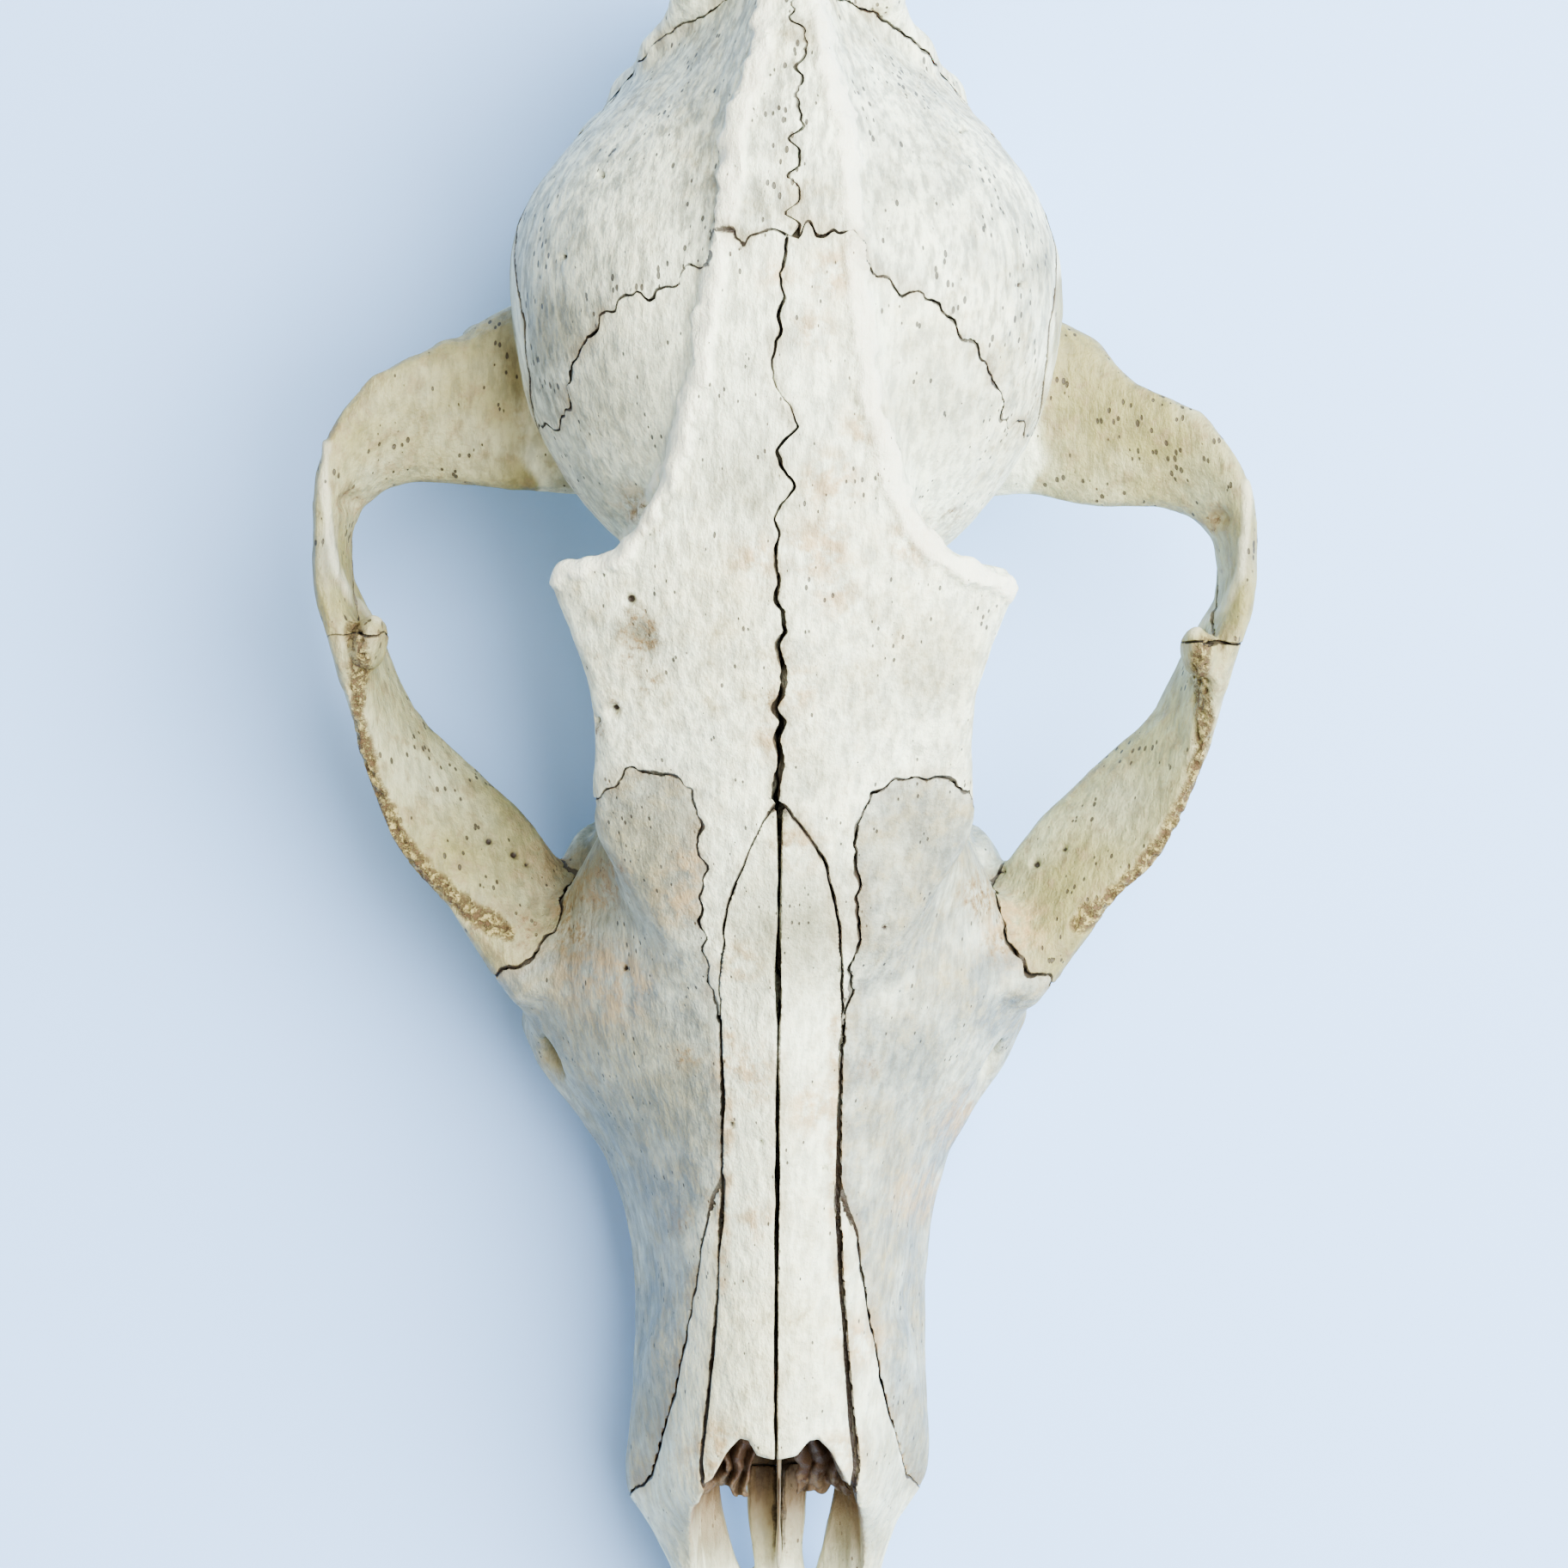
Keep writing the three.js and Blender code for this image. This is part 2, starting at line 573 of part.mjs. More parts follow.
// Where the sums of two vertices are least: by Cramer's rule, or half way on a flat place.
function closingPoint(q, ax, ay, az, bx, by, bz) {
  const minor0 = q[4] * q[7] - q[5] * q[5];
  const minor1 = q[1] * q[7] - q[5] * q[2];
  const minor2 = q[1] * q[5] - q[4] * q[2];
  const determinant = q[0] * minor0 - q[1] * minor1 + q[2] * minor2;
  const middle = [(ax + bx) / 2, (ay + by) / 2, (az + bz) / 2];
  if (Math.abs(determinant) < FLAT_SHARE * (q[0] + q[4] + q[7]) ** 3) return middle;
  const side0 = q[6] * q[7] - q[5] * q[8];
  const side1 = q[6] * q[5] - q[4] * q[8];
  const side2 = q[6] * q[2] - q[1] * q[8];
  const x = (-q[3] * minor0 + q[1] * side0 - q[2] * side1) / determinant;
  const y = (-q[0] * side0 + q[3] * minor1 + q[2] * side2) / determinant;
  const z = (q[0] * side1 - q[1] * side2 - q[3] * minor2) / determinant;
  const strayed = Math.hypot(x - middle[0], y - middle[1], z - middle[2]);
  return strayed < Math.hypot(ax - bx, ay - by, az - bz) ? [x, y, z] : middle;
}

const LENGTH_WEIGHT = 1e-4;
const MOST_TURN = 0.3;

function thinSurface({ positions, triangles }, wanted) {
  const vertices = positions.length / 3;
  const place = Float64Array.from(positions);
  const faces = Int32Array.from(triangles);
  const around = Array.from({ length: vertices }, () => []);
  const sums = new Float64Array(vertices * SUMS);
  const stamps = new Uint32Array(vertices);
  let count = faces.length / 3;
  const normal = [0, 0, 0];
  // The normal of a face, as long as twice its area, with one vertex moved to a point.
  const measure = (face, moved, point) => {
    const corner = (step, axis) => {
      const vertex = faces[3 * face + step];
      return vertex === moved ? point[axis] : place[3 * vertex + axis];
    };
    const ax = corner(0, 0);
    const ay = corner(0, 1);
    const az = corner(0, 2);
    const [ux, uy, uz] = [corner(1, 0) - ax, corner(1, 1) - ay, corner(1, 2) - az];
    const [vx, vy, vz] = [corner(2, 0) - ax, corner(2, 1) - ay, corner(2, 2) - az];
    normal[0] = uy * vz - uz * vy;
    normal[1] = uz * vx - ux * vz;
    normal[2] = ux * vy - uy * vx;
    return Math.hypot(normal[0], normal[1], normal[2]);
  };
  for (let face = 0; face < count; face++) {
    const area = measure(face, -1, normal);
    const [a, b, c] = area > 0 ? normal.map((value) => value / area) : [0, 0, 0];
    const first = 3 * faces[3 * face];
    const d = -(a * place[first] + b * place[first + 1] + c * place[first + 2]);
    for (let step = 0; step < 3; step++) {
      const vertex = faces[3 * face + step];
      around[vertex].push(face);
      addPlane(sums, vertex, a, b, c, d, area);
    }
  }
  const neighbours = (vertex) => {
    const found = new Set();
    for (const face of around[vertex]) {
      for (let step = 0; step < 3; step++) found.add(faces[3 * face + step]);
    }
    found.delete(vertex);
    return found;
  };
  const both = new Float64Array(SUMS);
  const entryFor = (from, to) => {
    for (let i = 0; i < SUMS; i++) both[i] = sums[from * SUMS + i] + sums[to * SUMS + i];
    const [ax, ay, az] = place.subarray(3 * from, 3 * from + 3);
    const [bx, by, bz] = place.subarray(3 * to, 3 * to + 3);
    const [x, y, z] = closingPoint(both, ax, ay, az, bx, by, bz);
    const error = both[0] * x * x + both[4] * y * y + both[7] * z * z + both[9] +
      2 * (both[1] * x * y + both[2] * x * z + both[3] * x + both[5] * y * z + both[6] * y + both[8] * z);
    const length = (ax - bx) ** 2 + (ay - by) ** 2 + (az - bz) ** 2;
    return [error + LENGTH_WEIGHT * length, from, to, stamps[from], stamps[to], x, y, z];
  };
  const has = (face, vertex) =>
    faces[3 * face] === vertex || faces[3 * face + 1] === vertex || faces[3 * face + 2] === vertex;
  const turnsOver = (vertex, other, point) => around[vertex].some((face) => {
    if (has(face, other)) return false;
    const sizeBefore = measure(face, -1, point);
    const before = [...normal];
    const sizeAfter = measure(face, vertex, point);
    const dot = before[0] * normal[0] + before[1] * normal[1] + before[2] * normal[2];
    return dot < MOST_TURN * sizeBefore * sizeAfter || sizeAfter < 1e-5;
  });
  const heap = [];
  for (let vertex = 0; vertex < vertices; vertex++) {
    for (const other of neighbours(vertex)) if (other > vertex) pushEntry(heap, entryFor(vertex, other));
  }
  while (count > wanted && heap.length > 0) {
    const [, from, to, stampFrom, stampTo, x, y, z] = popEntry(heap);
    if (stamps[from] !== stampFrom || stamps[to] !== stampTo) continue;
    const beside = neighbours(from);
    let shared = 0;
    for (const vertex of neighbours(to)) if (beside.has(vertex)) shared += 1;
    const point = [x, y, z];
    if (shared !== 2 || turnsOver(from, to, point) || turnsOver(to, from, point)) continue;
    place.set(point, 3 * from);
    for (let i = 0; i < SUMS; i++) sums[from * SUMS + i] += sums[to * SUMS + i];
    const closed = around[to].filter((face) => has(face, from));
    for (const face of closed) {
      for (let step = 0; step < 3; step++) {
        const vertex = faces[3 * face + step];
        if (vertex !== to) around[vertex] = around[vertex].filter((one) => one !== face);
      }
      faces.fill(-1, 3 * face, 3 * face + 3);
      count -= 1;
    }
    for (const face of around[to]) {
      if (closed.includes(face)) continue;
      for (let step = 0; step < 3; step++) {
        if (faces[3 * face + step] === to) faces[3 * face + step] = from;
      }
      around[from].push(face);
    }
    around[to] = [];
    stamps[from] += 1;
    stamps[to] += 1;
    for (const other of neighbours(from)) pushEntry(heap, entryFor(from, other));
  }
  return geometryOf(Float32Array.from(place), [...faces.filter((corner) => corner >= 0)]);
}

// Solids

function geometryOf(positions, triangles) {
  const geometry = new THREE.BufferGeometry();
  geometry.setAttribute("position", new THREE.Float32BufferAttribute(positions, 3));
  geometry.setIndex(triangles);
  return geometry;
}

function solidOf(geometry) {
  const bare = geometry.clone();
  bare.deleteAttribute("normal");
  bare.deleteAttribute("uv");
  const merged = mergeVertices(bare, 1e-4);
  const used = new Map();
  const vertProperties = [];
  const triVerts = [];
  const triangles = merged.index.array;
  const place = merged.attributes.position.array;
  const indexOf = (vertex) => {
    if (!used.has(vertex)) {
      used.set(vertex, used.size);
      vertProperties.push(place[3 * vertex], place[3 * vertex + 1], place[3 * vertex + 2]);
    }
    return used.get(vertex);
  };
  for (let i = 0; i < triangles.length; i += 3) {
    const corners = [triangles[i], triangles[i + 1], triangles[i + 2]];
    if (new Set(corners).size === 3) triVerts.push(...corners.map(indexOf));
  }
  return new wasm.Manifold(
    new wasm.Mesh({
      numProp: 3,
      vertProperties: new Float32Array(vertProperties),
      triVerts: new Uint32Array(triVerts),
    }));
}

function largestPiece(solid) {
  return solid.decompose().reduce((best, piece) => (piece.volume() > best.volume() ? piece : best));
}

// A prism whose outline of [x, y] points stands upright from one level to another.
function uprightPrism(outline, lowZ, highZ) {
  const shape = new THREE.Shape(outline.map(([x, y]) => new THREE.Vector2(x, y)));
  const geometry = new THREE.ExtrudeGeometry(shape, { depth: highZ - lowZ, bevelEnabled: false });
  return geometry.translate(0, 0, lowZ);
}

// A prism whose outline of [y, z] points runs across the skull from one x to another.
function crosswisePrism(outline, lowX, highX) {
  const shape = new THREE.Shape(outline.map(([y, z]) => new THREE.Vector2(y, z)));
  const geometry = new THREE.ExtrudeGeometry(shape, { depth: highX - lowX, bevelEnabled: false });
  const cyclic = new THREE.Matrix4().set(0, 0, 1, lowX, 1, 0, 0, 0, 0, 1, 0, 0, 0, 0, 0, 1);
  return geometry.applyMatrix4(cyclic);
}

// The same outline, larger by a margin all round.
function grown(outline, margin) {
  const turning = THREE.ShapeUtils.area(outline.map(([x, y]) => ({ x, y }))) > 0 ? 1 : -1;
  return outline.map(([x, y], i) => {
    const [px, py] = outline.at(i - 1);
    const [nx, ny] = outline[(i + 1) % outline.length];
    const before = new THREE.Vector2(y - py, px - x).normalize();
    const after = new THREE.Vector2(ny - y, x - nx).normalize();
    const middle = before.clone().add(after).normalize();
    const reach = (turning * margin) / Math.max(middle.dot(before), 0.4);
    return [x + middle.x * reach, y + middle.y * reach];
  });
}

function mirrored(outline, side) {
  return outline.map(([x, y]) => [x * side, y]);
}

// The teeth of one side from the middle incisor back, but for the canine, whose socket is empty.
// `turn` leans the back end of a tooth outwards, in degrees. A cusp is its place along and across
// the tooth, from -1 to 1, and its height as a share of the tooth's.
const TEETH = [
  { x: 1.5, y: -71.3, length: 2.2, width: 2.3, height: 4, turn: 0, cusps: [[0, 0.1, 1]] },
  { x: 3.8, y: -70.4, length: 2.4, width: 2.6, height: 4.4, turn: -20, cusps: [[0, 0.1, 1]] },
  { x: 6.1, y: -68.4, length: 3, width: 2.9, height: 5, turn: -40, cusps: [[0, 0.1, 1]] },
  { x: 9.7, y: -51.6, length: 4, width: 2.4, height: 3.2, turn: 2, cusps: [[-0.2, 0, 1]] },
  { x: 9.8, y: -44, length: 7.4, width: 2.8, height: 4.8, turn: 3, cusps: [[-0.15, 0, 1], [0.65, 0, 0.35]] },
  { x: 11, y: -34.6, length: 8.4, width: 3.1, height: 5.4, turn: 12,
    cusps: [[-0.1, 0, 1], [0.6, 0, 0.45]] },
  { x: 14.2, y: -23.6, length: 12.8, width: 5, height: 8.4, turn: 20,
    cusps: [[-0.2, 0.3, 1], [0.6, 0.3, 0.7], [-0.75, -0.6, 0.5]] },
  { x: 14.1, y: -12.2, length: 8.2, width: 10.4, height: 8, turn: 4,
    cusps: [[-0.4, 0.62, 1], [0.42, 0.6, 0.9], [-0.2, -0.45, 0.62], [0.1, -0.8, 0.5]] },
  { x: 12.6, y: -4.9, length: 4.9, width: 7.4, height: 5, turn: -8,
    cusps: [[-0.35, 0.55, 1], [0.35, 0.5, 0.85], [0, -0.6, 0.6]] },
];
const TOOTH_FACETS = 10;
const TOOTH_RINGS = 7;
const TOOTH_ROOT = 2.6;
const CUSP_SHARPNESS = 2.4;
const CUSP_FLOOR = 0.3;

function toothGeometry({ x, y, length, width, height, turn, cusps }) {
  const geometry = new THREE.SphereGeometry(1, TOOTH_FACETS, TOOTH_RINGS).rotateX(Math.PI / 2);
  const place = geometry.attributes.position;
  for (let i = 0; i < place.count; i++) {
    const [across, along, up] = [place.getX(i), place.getY(i), place.getZ(i)];
    const relief = Math.max(...cusps.map(([cy, cx, share]) =>
      share * Math.exp(-CUSP_SHARPNESS * ((along - cy) ** 2 + (0.8 * (across - cx)) ** 2))));
    const depth = up < 0 ? height * lerp(CUSP_FLOOR, 1, relief) : TOOTH_ROOT;
    const swell = 1 + 0.12 * Math.sin(Math.PI * clamp(-up, 0, 1));
    place.setXYZ(i, (across * swell * width) / 2, (along * swell * length) / 2, up * depth);
  }
  return geometry.rotateZ(-degToRad(turn)).translate(x, y, ALVEOLAR_Z);
}

// Sutures, seen from above: [x, y] from the midline outwards, true to each side of the skull
const FRONTAL_BACK = {
  left: [
    [0, 42.2], [2, 41.4], [3.4, 41], [4.6, 42.2], [5.7, 39.6], [8.3, 39], [10.4, 37.5], [12.7, 37],
    [14.5, 35.4], [15.9, 33.8], [17, 29.8], [17.8, 28.4],
  ],
  right: [
    [0, 42.2], [1.6, 42.7], [4.9, 42], [5.9, 39.8], [6.9, 38.7], [10.2, 38], [13.1, 35.4], [15.9, 32.2],
    [16.9, 28.6],
  ],
};
const NASAL_EDGE = {
  left: [
    [0.2, NASION_Y], [1.7, -3.9], [2.8, -6.6], [4, -10], [4.4, -13], [4.6, -18.3], [4.4, -28], [4.8, -42],
    [6.1, -55],
  ],
  right: [
    [0.2, NASION_Y], [1.95, -4.2], [3, -6.4], [4.25, -11.4], [4.5, -20.3], [4.4, -33.6], [5.3, -46.8],
    [6.2, -55.5],
  ],
};
// Front edge of the nasal bones: a deep notch between the middle point and the long outer one
const NASAL_FRONT = [
  [6, NASAL_TIP_Y], [5.4, -56.6], [4.3, -54.4], [3.2, -52.9], [2.4, -53], [1.6, -54.3], [0.2, -54.5],
];
// Rim of the nose's opening in front of them, from the nasal bones' outer points to the tip
const NOSE_RIM = [[6.6, -59.5], [6.9, -63], [6.7, -67], [5.2, -70], [0, -71.3]];
const NOSE_FLOOR_Z = 15;
const FRONTAL_PROCESS = {
  left: [
    [4.9, -18.6], [5.4, -17], [6.1, -11.4], [6, -6.6], [6.9, -0.4], [8.6, 0.5], [11.8, 1.4], [15.4, -1.4],
  ],
  right: [
    [4.8, -20.4], [5.1, -17.6], [6.05, -9.4], [5.6, -4.6], [6.7, -0.5], [10, 0.8], [13.7, 0.6], [15.6, -2],
  ],
};
const CHEEK_SUTURE = {
  left: [[15, -1.8], [16.5, -5], [18.2, -9.2], [18.9, -12], [20.9, -14.4], [26, -16.4]],
  right: [[15.4, -1.9], [16.2, -5], [17.7, -8.9], [18.2, -12], [20.3, -15.2], [26, -17.4]],
};
const PREMAXILLA_EDGE = [[4.7, -29], [5.9, -36], [7, -43], [8.4, -50], [10.4, -57.5], [14, -61.5]];
const LAMBDOID = [[22, 51.5], [18, 53.2], [14.5, 55.2], [12, 57.6], [9, 60.2], [5, 61.5], [0, LAMBDA_Y]];
// Seen from the side: [y, z]
const PREMAXILLA_SIDE = [[-28, 33], [-45, 24], [-57, 12], [-60, 4], [-61, -5]];
const FRONTAL_SIDE = [[-21, 29], [-3, 31], [5, 28.6], [14, 26.4], [22, 25.6], [28.6, 27.5]];
const CHEEK_SIDE = [[-22, 28], [-17, 22], [-11, 17.5], [-5, 15], [-2, 8]];
const SQUAMOSAL = [
  [24, 27.5], [28.5, 31], [32, 34.4], [36.5, 35.8], [41, 34], [46, 31.5], [52, 29.4], [66, 28.6],
];
const JUGAL_OVERLAP = [[11.6, 40], [12, 25.4], [13.6, 22.6], [24, 18.6], [27, 10]];

// Underside of the nasal bones, behind and in front
const NASAL_UNDERSIDE = [37.3, 24.5];
const NASAL_EDGE_STEPS = 14;
const HIGH = 60;
const LOW = -5;
const WIDE = 45;
const HALF_MIDLINE = MIDLINE_GAP / 2;

// A block is given twice: as the bone's own space, and larger by the suture for what is left.
// A nasal bone's block, its underside following the slope of the muzzle.
function nasalBlock(side, margin) {
  const edge = smoothLine(NASAL_EDGE[side], NASAL_EDGE_STEPS);
  const outline = mirrored([...edge, ...NASAL_FRONT], SIDES[side]);
  const widened = margin > 0 ? grown(outline, margin) : outline;
  const geometry = uprightPrism(widened, 0, HIGH);
  const place = geometry.attributes.position;
  for (let i = 0; i < place.count; i++) {
    const y = place.getY(i);
    const underside = lerp(...NASAL_UNDERSIDE, clamp((y - NASION_Y) / (NASAL_TIP_Y - NASION_Y), 0, 1));
    if (place.getZ(i) < HIGH / 2) place.setZ(i, underside - margin);
  }
  return solidOf(geometry);
}

function sideBlock(outline, side, margin, lowZ = LOW, highZ = HIGH) {
  return solidOf(uprightPrism(grown(mirrored(outline, SIDES[side]), margin), lowZ - margin, highZ));
}

function profileBlock(outline, margin) {
  return solidOf(crosswisePrism(grown(outline, margin), -WIDE, WIDE));
}

const BULLA_FACETS = 14;
const BULLA_RINGS = 9;
const BULLA_MARGIN = 0.5;
const PALATINE_TOP_Z = 20;

const BLOCKS = {
  bulla: (side, margin) => {
    const { x, y, z, width, length, height } = BULLA;
    const radii = [width, length, height].map((radius) => radius + BULLA_MARGIN + margin);
    const ball = new THREE.SphereGeometry(1, BULLA_FACETS, BULLA_RINGS).rotateX(Math.PI / 2).scale(...radii);
    return solidOf(ball.translate(x * SIDES[side], y, z));
  },
  nasal: nasalBlock,
  premaxilla: (side, margin) => {
    const outline = [[HALF_MIDLINE, -28.6], ...PREMAXILLA_EDGE, [14, -80], [HALF_MIDLINE, -80]];
    const profile = [...PREMAXILLA_SIDE, [-80, LOW], [-80, 40], [-28, 40]];
    return sideBlock(outline, side, margin).intersect(profileBlock(profile, margin));
  },
  frontal: (side, margin) => {
    const outline = [
      ...FRONTAL_BACK[side].map(([x, y]) => [Math.max(x, HALF_MIDLINE), y]),
      [24, 27], [24, -1.2], ...FRONTAL_PROCESS[side].toReversed(), [HALF_MIDLINE, -21]];
    const profile = [...smoothLine(FRONTAL_SIDE, 12), [44, 27.5], [44, HIGH], [-21, HIGH]];
    return sideBlock(outline, side, margin).intersect(profileBlock(profile, margin));
  },
  parietal: (side, margin) => {
    const outline = [
      [HALF_MIDLINE, 25], [WIDE, 25], [WIDE, 51], ...LAMBDOID.slice(0, -1), [HALF_MIDLINE, LAMBDA_Y]];
    const profile = [...SQUAMOSAL, [66, HIGH], [24, HIGH]];
    return sideBlock(outline, side, margin).intersect(profileBlock(profile, margin));
  },
  temporal: (side, margin) => {
    const outline = [[12.5, 22.4], [31, 21], [31, 11], [WIDE, 11], [WIDE, 60], [12.5, 60]];
    const profile = [...JUGAL_OVERLAP, [27, LOW], [70, LOW], [70, 42], [11.6, 42]];
    return sideBlock(outline, side, margin).intersect(profileBlock(profile, margin));
  },
  zygomatic: (side, margin) => {
    const outline = [...CHEEK_SUTURE[side], [WIDE, -16], [WIDE, 34], [24, 34], [16, 3]];
    const profile = [...CHEEK_SIDE, [36, 8], [36, 40], [-22, 40]];
    return sideBlock(outline, side, margin).intersect(profileBlock(profile, margin));
  },
  maxilla: (side, margin) => {
    const outline = [[HALF_MIDLINE, 2.6], [30, 2.6], [30, -62], [HALF_MIDLINE, -80]];
    const palatine = mirrored([[-1, 5], [-1, -12], [7.4, -12], [8.6, 5]], SIDES[side]);
    const above = solidOf(uprightPrism(grown(palatine, SUTURE_GAP - margin), LOW - 5, PALATINE_TOP_Z));
    return sideBlock(outline, side, margin).subtract(above);
  },
};

// The occipital bone: all that lies behind the lambdoid suture, and its arm between the bullae
function occipitalBlock(margin) {
  const back = [...LAMBDOID, ...mirrored(LAMBDOID.slice(0, -1), -1).reverse(), [-22, 85], [22, 85]];
  const halfArm = [[4.2, 41], [5.4, 51], [10, 52.6], [18, 52.6], [18, 64]];
  const arm = [...halfArm, ...mirrored(halfArm, -1).reverse()];
  const behind = solidOf(uprightPrism(grown(back, margin), LOW, HIGH));
  return behind.add(solidOf(uprightPrism(grown(arm, margin), LOW, 17 + margin)));
}

// The vomer: a thin upright plate on the midline of the nasal cavity's floor
const VOMER_HALF_WIDTH = 0.45;
const VOMER_PROFILE = [
  [-45.9, 11.6], [-64, 11.6], [-66.4, 12.2], [-64, 15.4], [-56.5, 19], [-50, 22.6], [-45.9, 23.5],
];

function material(color, roughness) {
  return new THREE.MeshStandardMaterial({ color, roughness, metalness: 0 });
}

const COLOURS = { zygomatic: ARCH_COLOUR, temporal: ARCH_COLOUR };

function meshOf(name, solid, color) {
  const { vertProperties, triVerts } = solid.getMesh();
  const mesh = new THREE.Mesh(geometryOf(vertProperties, [...triVerts]), material(color, 0.62));
  mesh.name = name;
  return mesh;
}

function wholeSkull() {
  let skull = largestPiece(solidOf(thinSurface(sampleSurface(), SURFACE_FACES)));
  for (const side of Object.values(SIDES)) {
    for (const tooth of TEETH) {
      const geometry = toothGeometry({ ...tooth, x: tooth.x * side, turn: tooth.turn * side,
        cusps: tooth.cusps.map(([along, across, share]) => [along, across * side, share]) });
      skull = skull.add(solidOf(geometry));
    }
  }
  const halfNose = [...NASAL_FRONT.slice(0, -1).reverse(), ...smoothLine(NOSE_RIM, 8).slice(0, -1)];
  const [noseBack, noseFront] = [NASAL_FRONT.at(-1), NOSE_RIM.at(-1)].map(([, y]) => [0, y]);
  const nose = [noseBack, ...halfNose, noseFront, ...mirrored(halfNose, -1).reverse()];
  const floor = new THREE.BoxGeometry(2 * WIDE, 4 * WIDE, 10).translate(0, 0, -5);
  skull = skull.subtract(solidOf(uprightPrism(nose, NOSE_FLOOR_Z, HIGH)));
  return largestPiece(skull.subtract(solidOf(floor)));
}

function foxSkull() {
  const skull = new THREE.Group();
  let rest = wholeSkull();
  const take = (name, own, cleared, color) => {
    skull.add(meshOf(name, largestPiece(rest.intersect(own)), color));
    rest = rest.subtract(cleared);
  };
  const takePair = (bone) => {
    const block = BLOCKS[bone];
    for (const side of Object.keys(SIDES)) {
      take(`${bone}_${side}`, block(side, 0), block(side, SUTURE_GAP), COLOURS[bone] ?? BONE_COLOUR);
    }
  };
  takePair("bulla");
  take("occipital", occipitalBlock(0), occipitalBlock(SUTURE_GAP), BONE_COLOUR);
  ["nasal", "premaxilla", "frontal", "parietal", "temporal", "zygomatic", "maxilla"].forEach(takePair);
  skull.add(meshOf("skull_base", largestPiece(rest), BONE_COLOUR));
  const vomer = solidOf(crosswisePrism(VOMER_PROFILE, -VOMER_HALF_WIDTH, VOMER_HALF_WIDTH));
  skull.add(meshOf("vomer", vomer, INNER_COLOUR));
  return skull;
}

export default foxSkull();
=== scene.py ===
# %% [markdown]
# # A fox skull, life size
# The cranium of an adult fox, without its lower jaw, lies on a pale board and is seen from straight
# above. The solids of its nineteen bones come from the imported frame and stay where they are. Here
# each bone gets the skin that real bone has: smooth rounded surfaces, sutures that wander and
# interlock, ridges, pores, holes for vessels, and stains.

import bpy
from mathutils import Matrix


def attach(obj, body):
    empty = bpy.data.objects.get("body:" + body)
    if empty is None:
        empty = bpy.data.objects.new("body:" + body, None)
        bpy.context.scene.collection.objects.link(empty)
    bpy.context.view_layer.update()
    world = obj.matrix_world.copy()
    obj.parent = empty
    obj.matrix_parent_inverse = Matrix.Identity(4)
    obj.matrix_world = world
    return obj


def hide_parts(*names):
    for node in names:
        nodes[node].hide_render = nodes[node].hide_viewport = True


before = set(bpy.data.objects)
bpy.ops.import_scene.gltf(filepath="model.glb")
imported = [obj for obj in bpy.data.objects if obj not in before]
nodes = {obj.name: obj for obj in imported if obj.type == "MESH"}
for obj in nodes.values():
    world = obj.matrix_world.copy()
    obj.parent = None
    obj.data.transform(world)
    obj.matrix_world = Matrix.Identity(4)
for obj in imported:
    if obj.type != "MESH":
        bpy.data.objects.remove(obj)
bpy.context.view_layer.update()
print("bones in the frame:", len(nodes))

# %% [markdown]
# ## Units and small tools
# Blender counts in metres, and a skull is easier to think of in millimetres, so numbers here are
# millimetres until the last moment. Operators act on all that is selected, so each tool first
# selects only the thing it works on.

# %% Units and small tools
from types import SimpleNamespace

import bpy
import numpy as np
from mathutils import Vector
from mathutils.bvhtree import BVHTree
from mathutils.kdtree import KDTree

MM = 0.001
MERGE_WITHIN = 0.001


def select_only(*things):
    bpy.ops.object.select_all(action="DESELECT")
    for thing in things:
        thing.select_set(True)
    bpy.context.view_layer.objects.active = things[0]


def apply_modifier(thing, kind, **settings):
    select_only(thing)
    modifier = thing.modifiers.new(kind.lower(), kind)
    for setting, value in settings.items():
        setattr(modifier, setting, value)
    bpy.ops.object.modifier_apply(modifier=modifier.name)


def merged_copy(node, name):
    """A copy of a CAD node whose loose triangles are merged into one surface."""
    thing = node.copy()
    thing.data = node.data.copy()
    thing.data.materials.clear()
    thing.name = thing.data.name = name
    bpy.context.collection.objects.link(thing)
    thing.parent = None
    thing.matrix_world.identity()
    select_only(thing)
    bpy.ops.object.mode_set(mode="EDIT")
    bpy.ops.mesh.select_all(action="SELECT")
    bpy.ops.mesh.remove_doubles(threshold=MERGE_WITHIN * MM)
    bpy.ops.object.mode_set(mode="OBJECT")
    return thing


def remove(thing):
    mesh = thing.data
    bpy.data.objects.remove(thing)
    bpy.data.meshes.remove(mesh)


# %% [markdown]
# ## Reading and moving the vertices
# A bone has tens of thousands of vertices, so they are moved all at once, as one table of
# positions. Neighbours are needed as well: a surface is smoothed by moving each vertex towards the
# mean of the vertices that share an edge with it.

# %% Vertices as tables
def table(items, what, width, kind=np.float32):
    flat = np.empty(len(items) * width, kind)
    items.foreach_get(what, flat)
    return flat.reshape(-1, width)


def places(thing):
    return table(thing.data.vertices, "co", 3).astype(float) / MM


def set_places(thing, points):
    thing.data.vertices.foreach_set("co", (points * MM).astype(np.float32).ravel())
    thing.data.update()


def normals(thing):
    return table(thing.data.vertex_normals, "vector", 3).astype(float)


def edges(thing):
    return table(thing.data.edges, "vertices", 2, np.int32)


def eased(values, pairs, share):
    """Values moved by a share of the way to the mean of their neighbours' values."""
    count = len(values)
    total = np.zeros_like(values)
    for here, there in ((0, 1), (1, 0)):
        for axis in range(values.shape[1]):
            total[:, axis] += np.bincount(pairs[:, here], values[pairs[:, there], axis], count)
    neighbours = np.maximum(np.bincount(pairs.ravel(), minlength=count), 1)
    return values + share * (total / neighbours[:, None] - values)


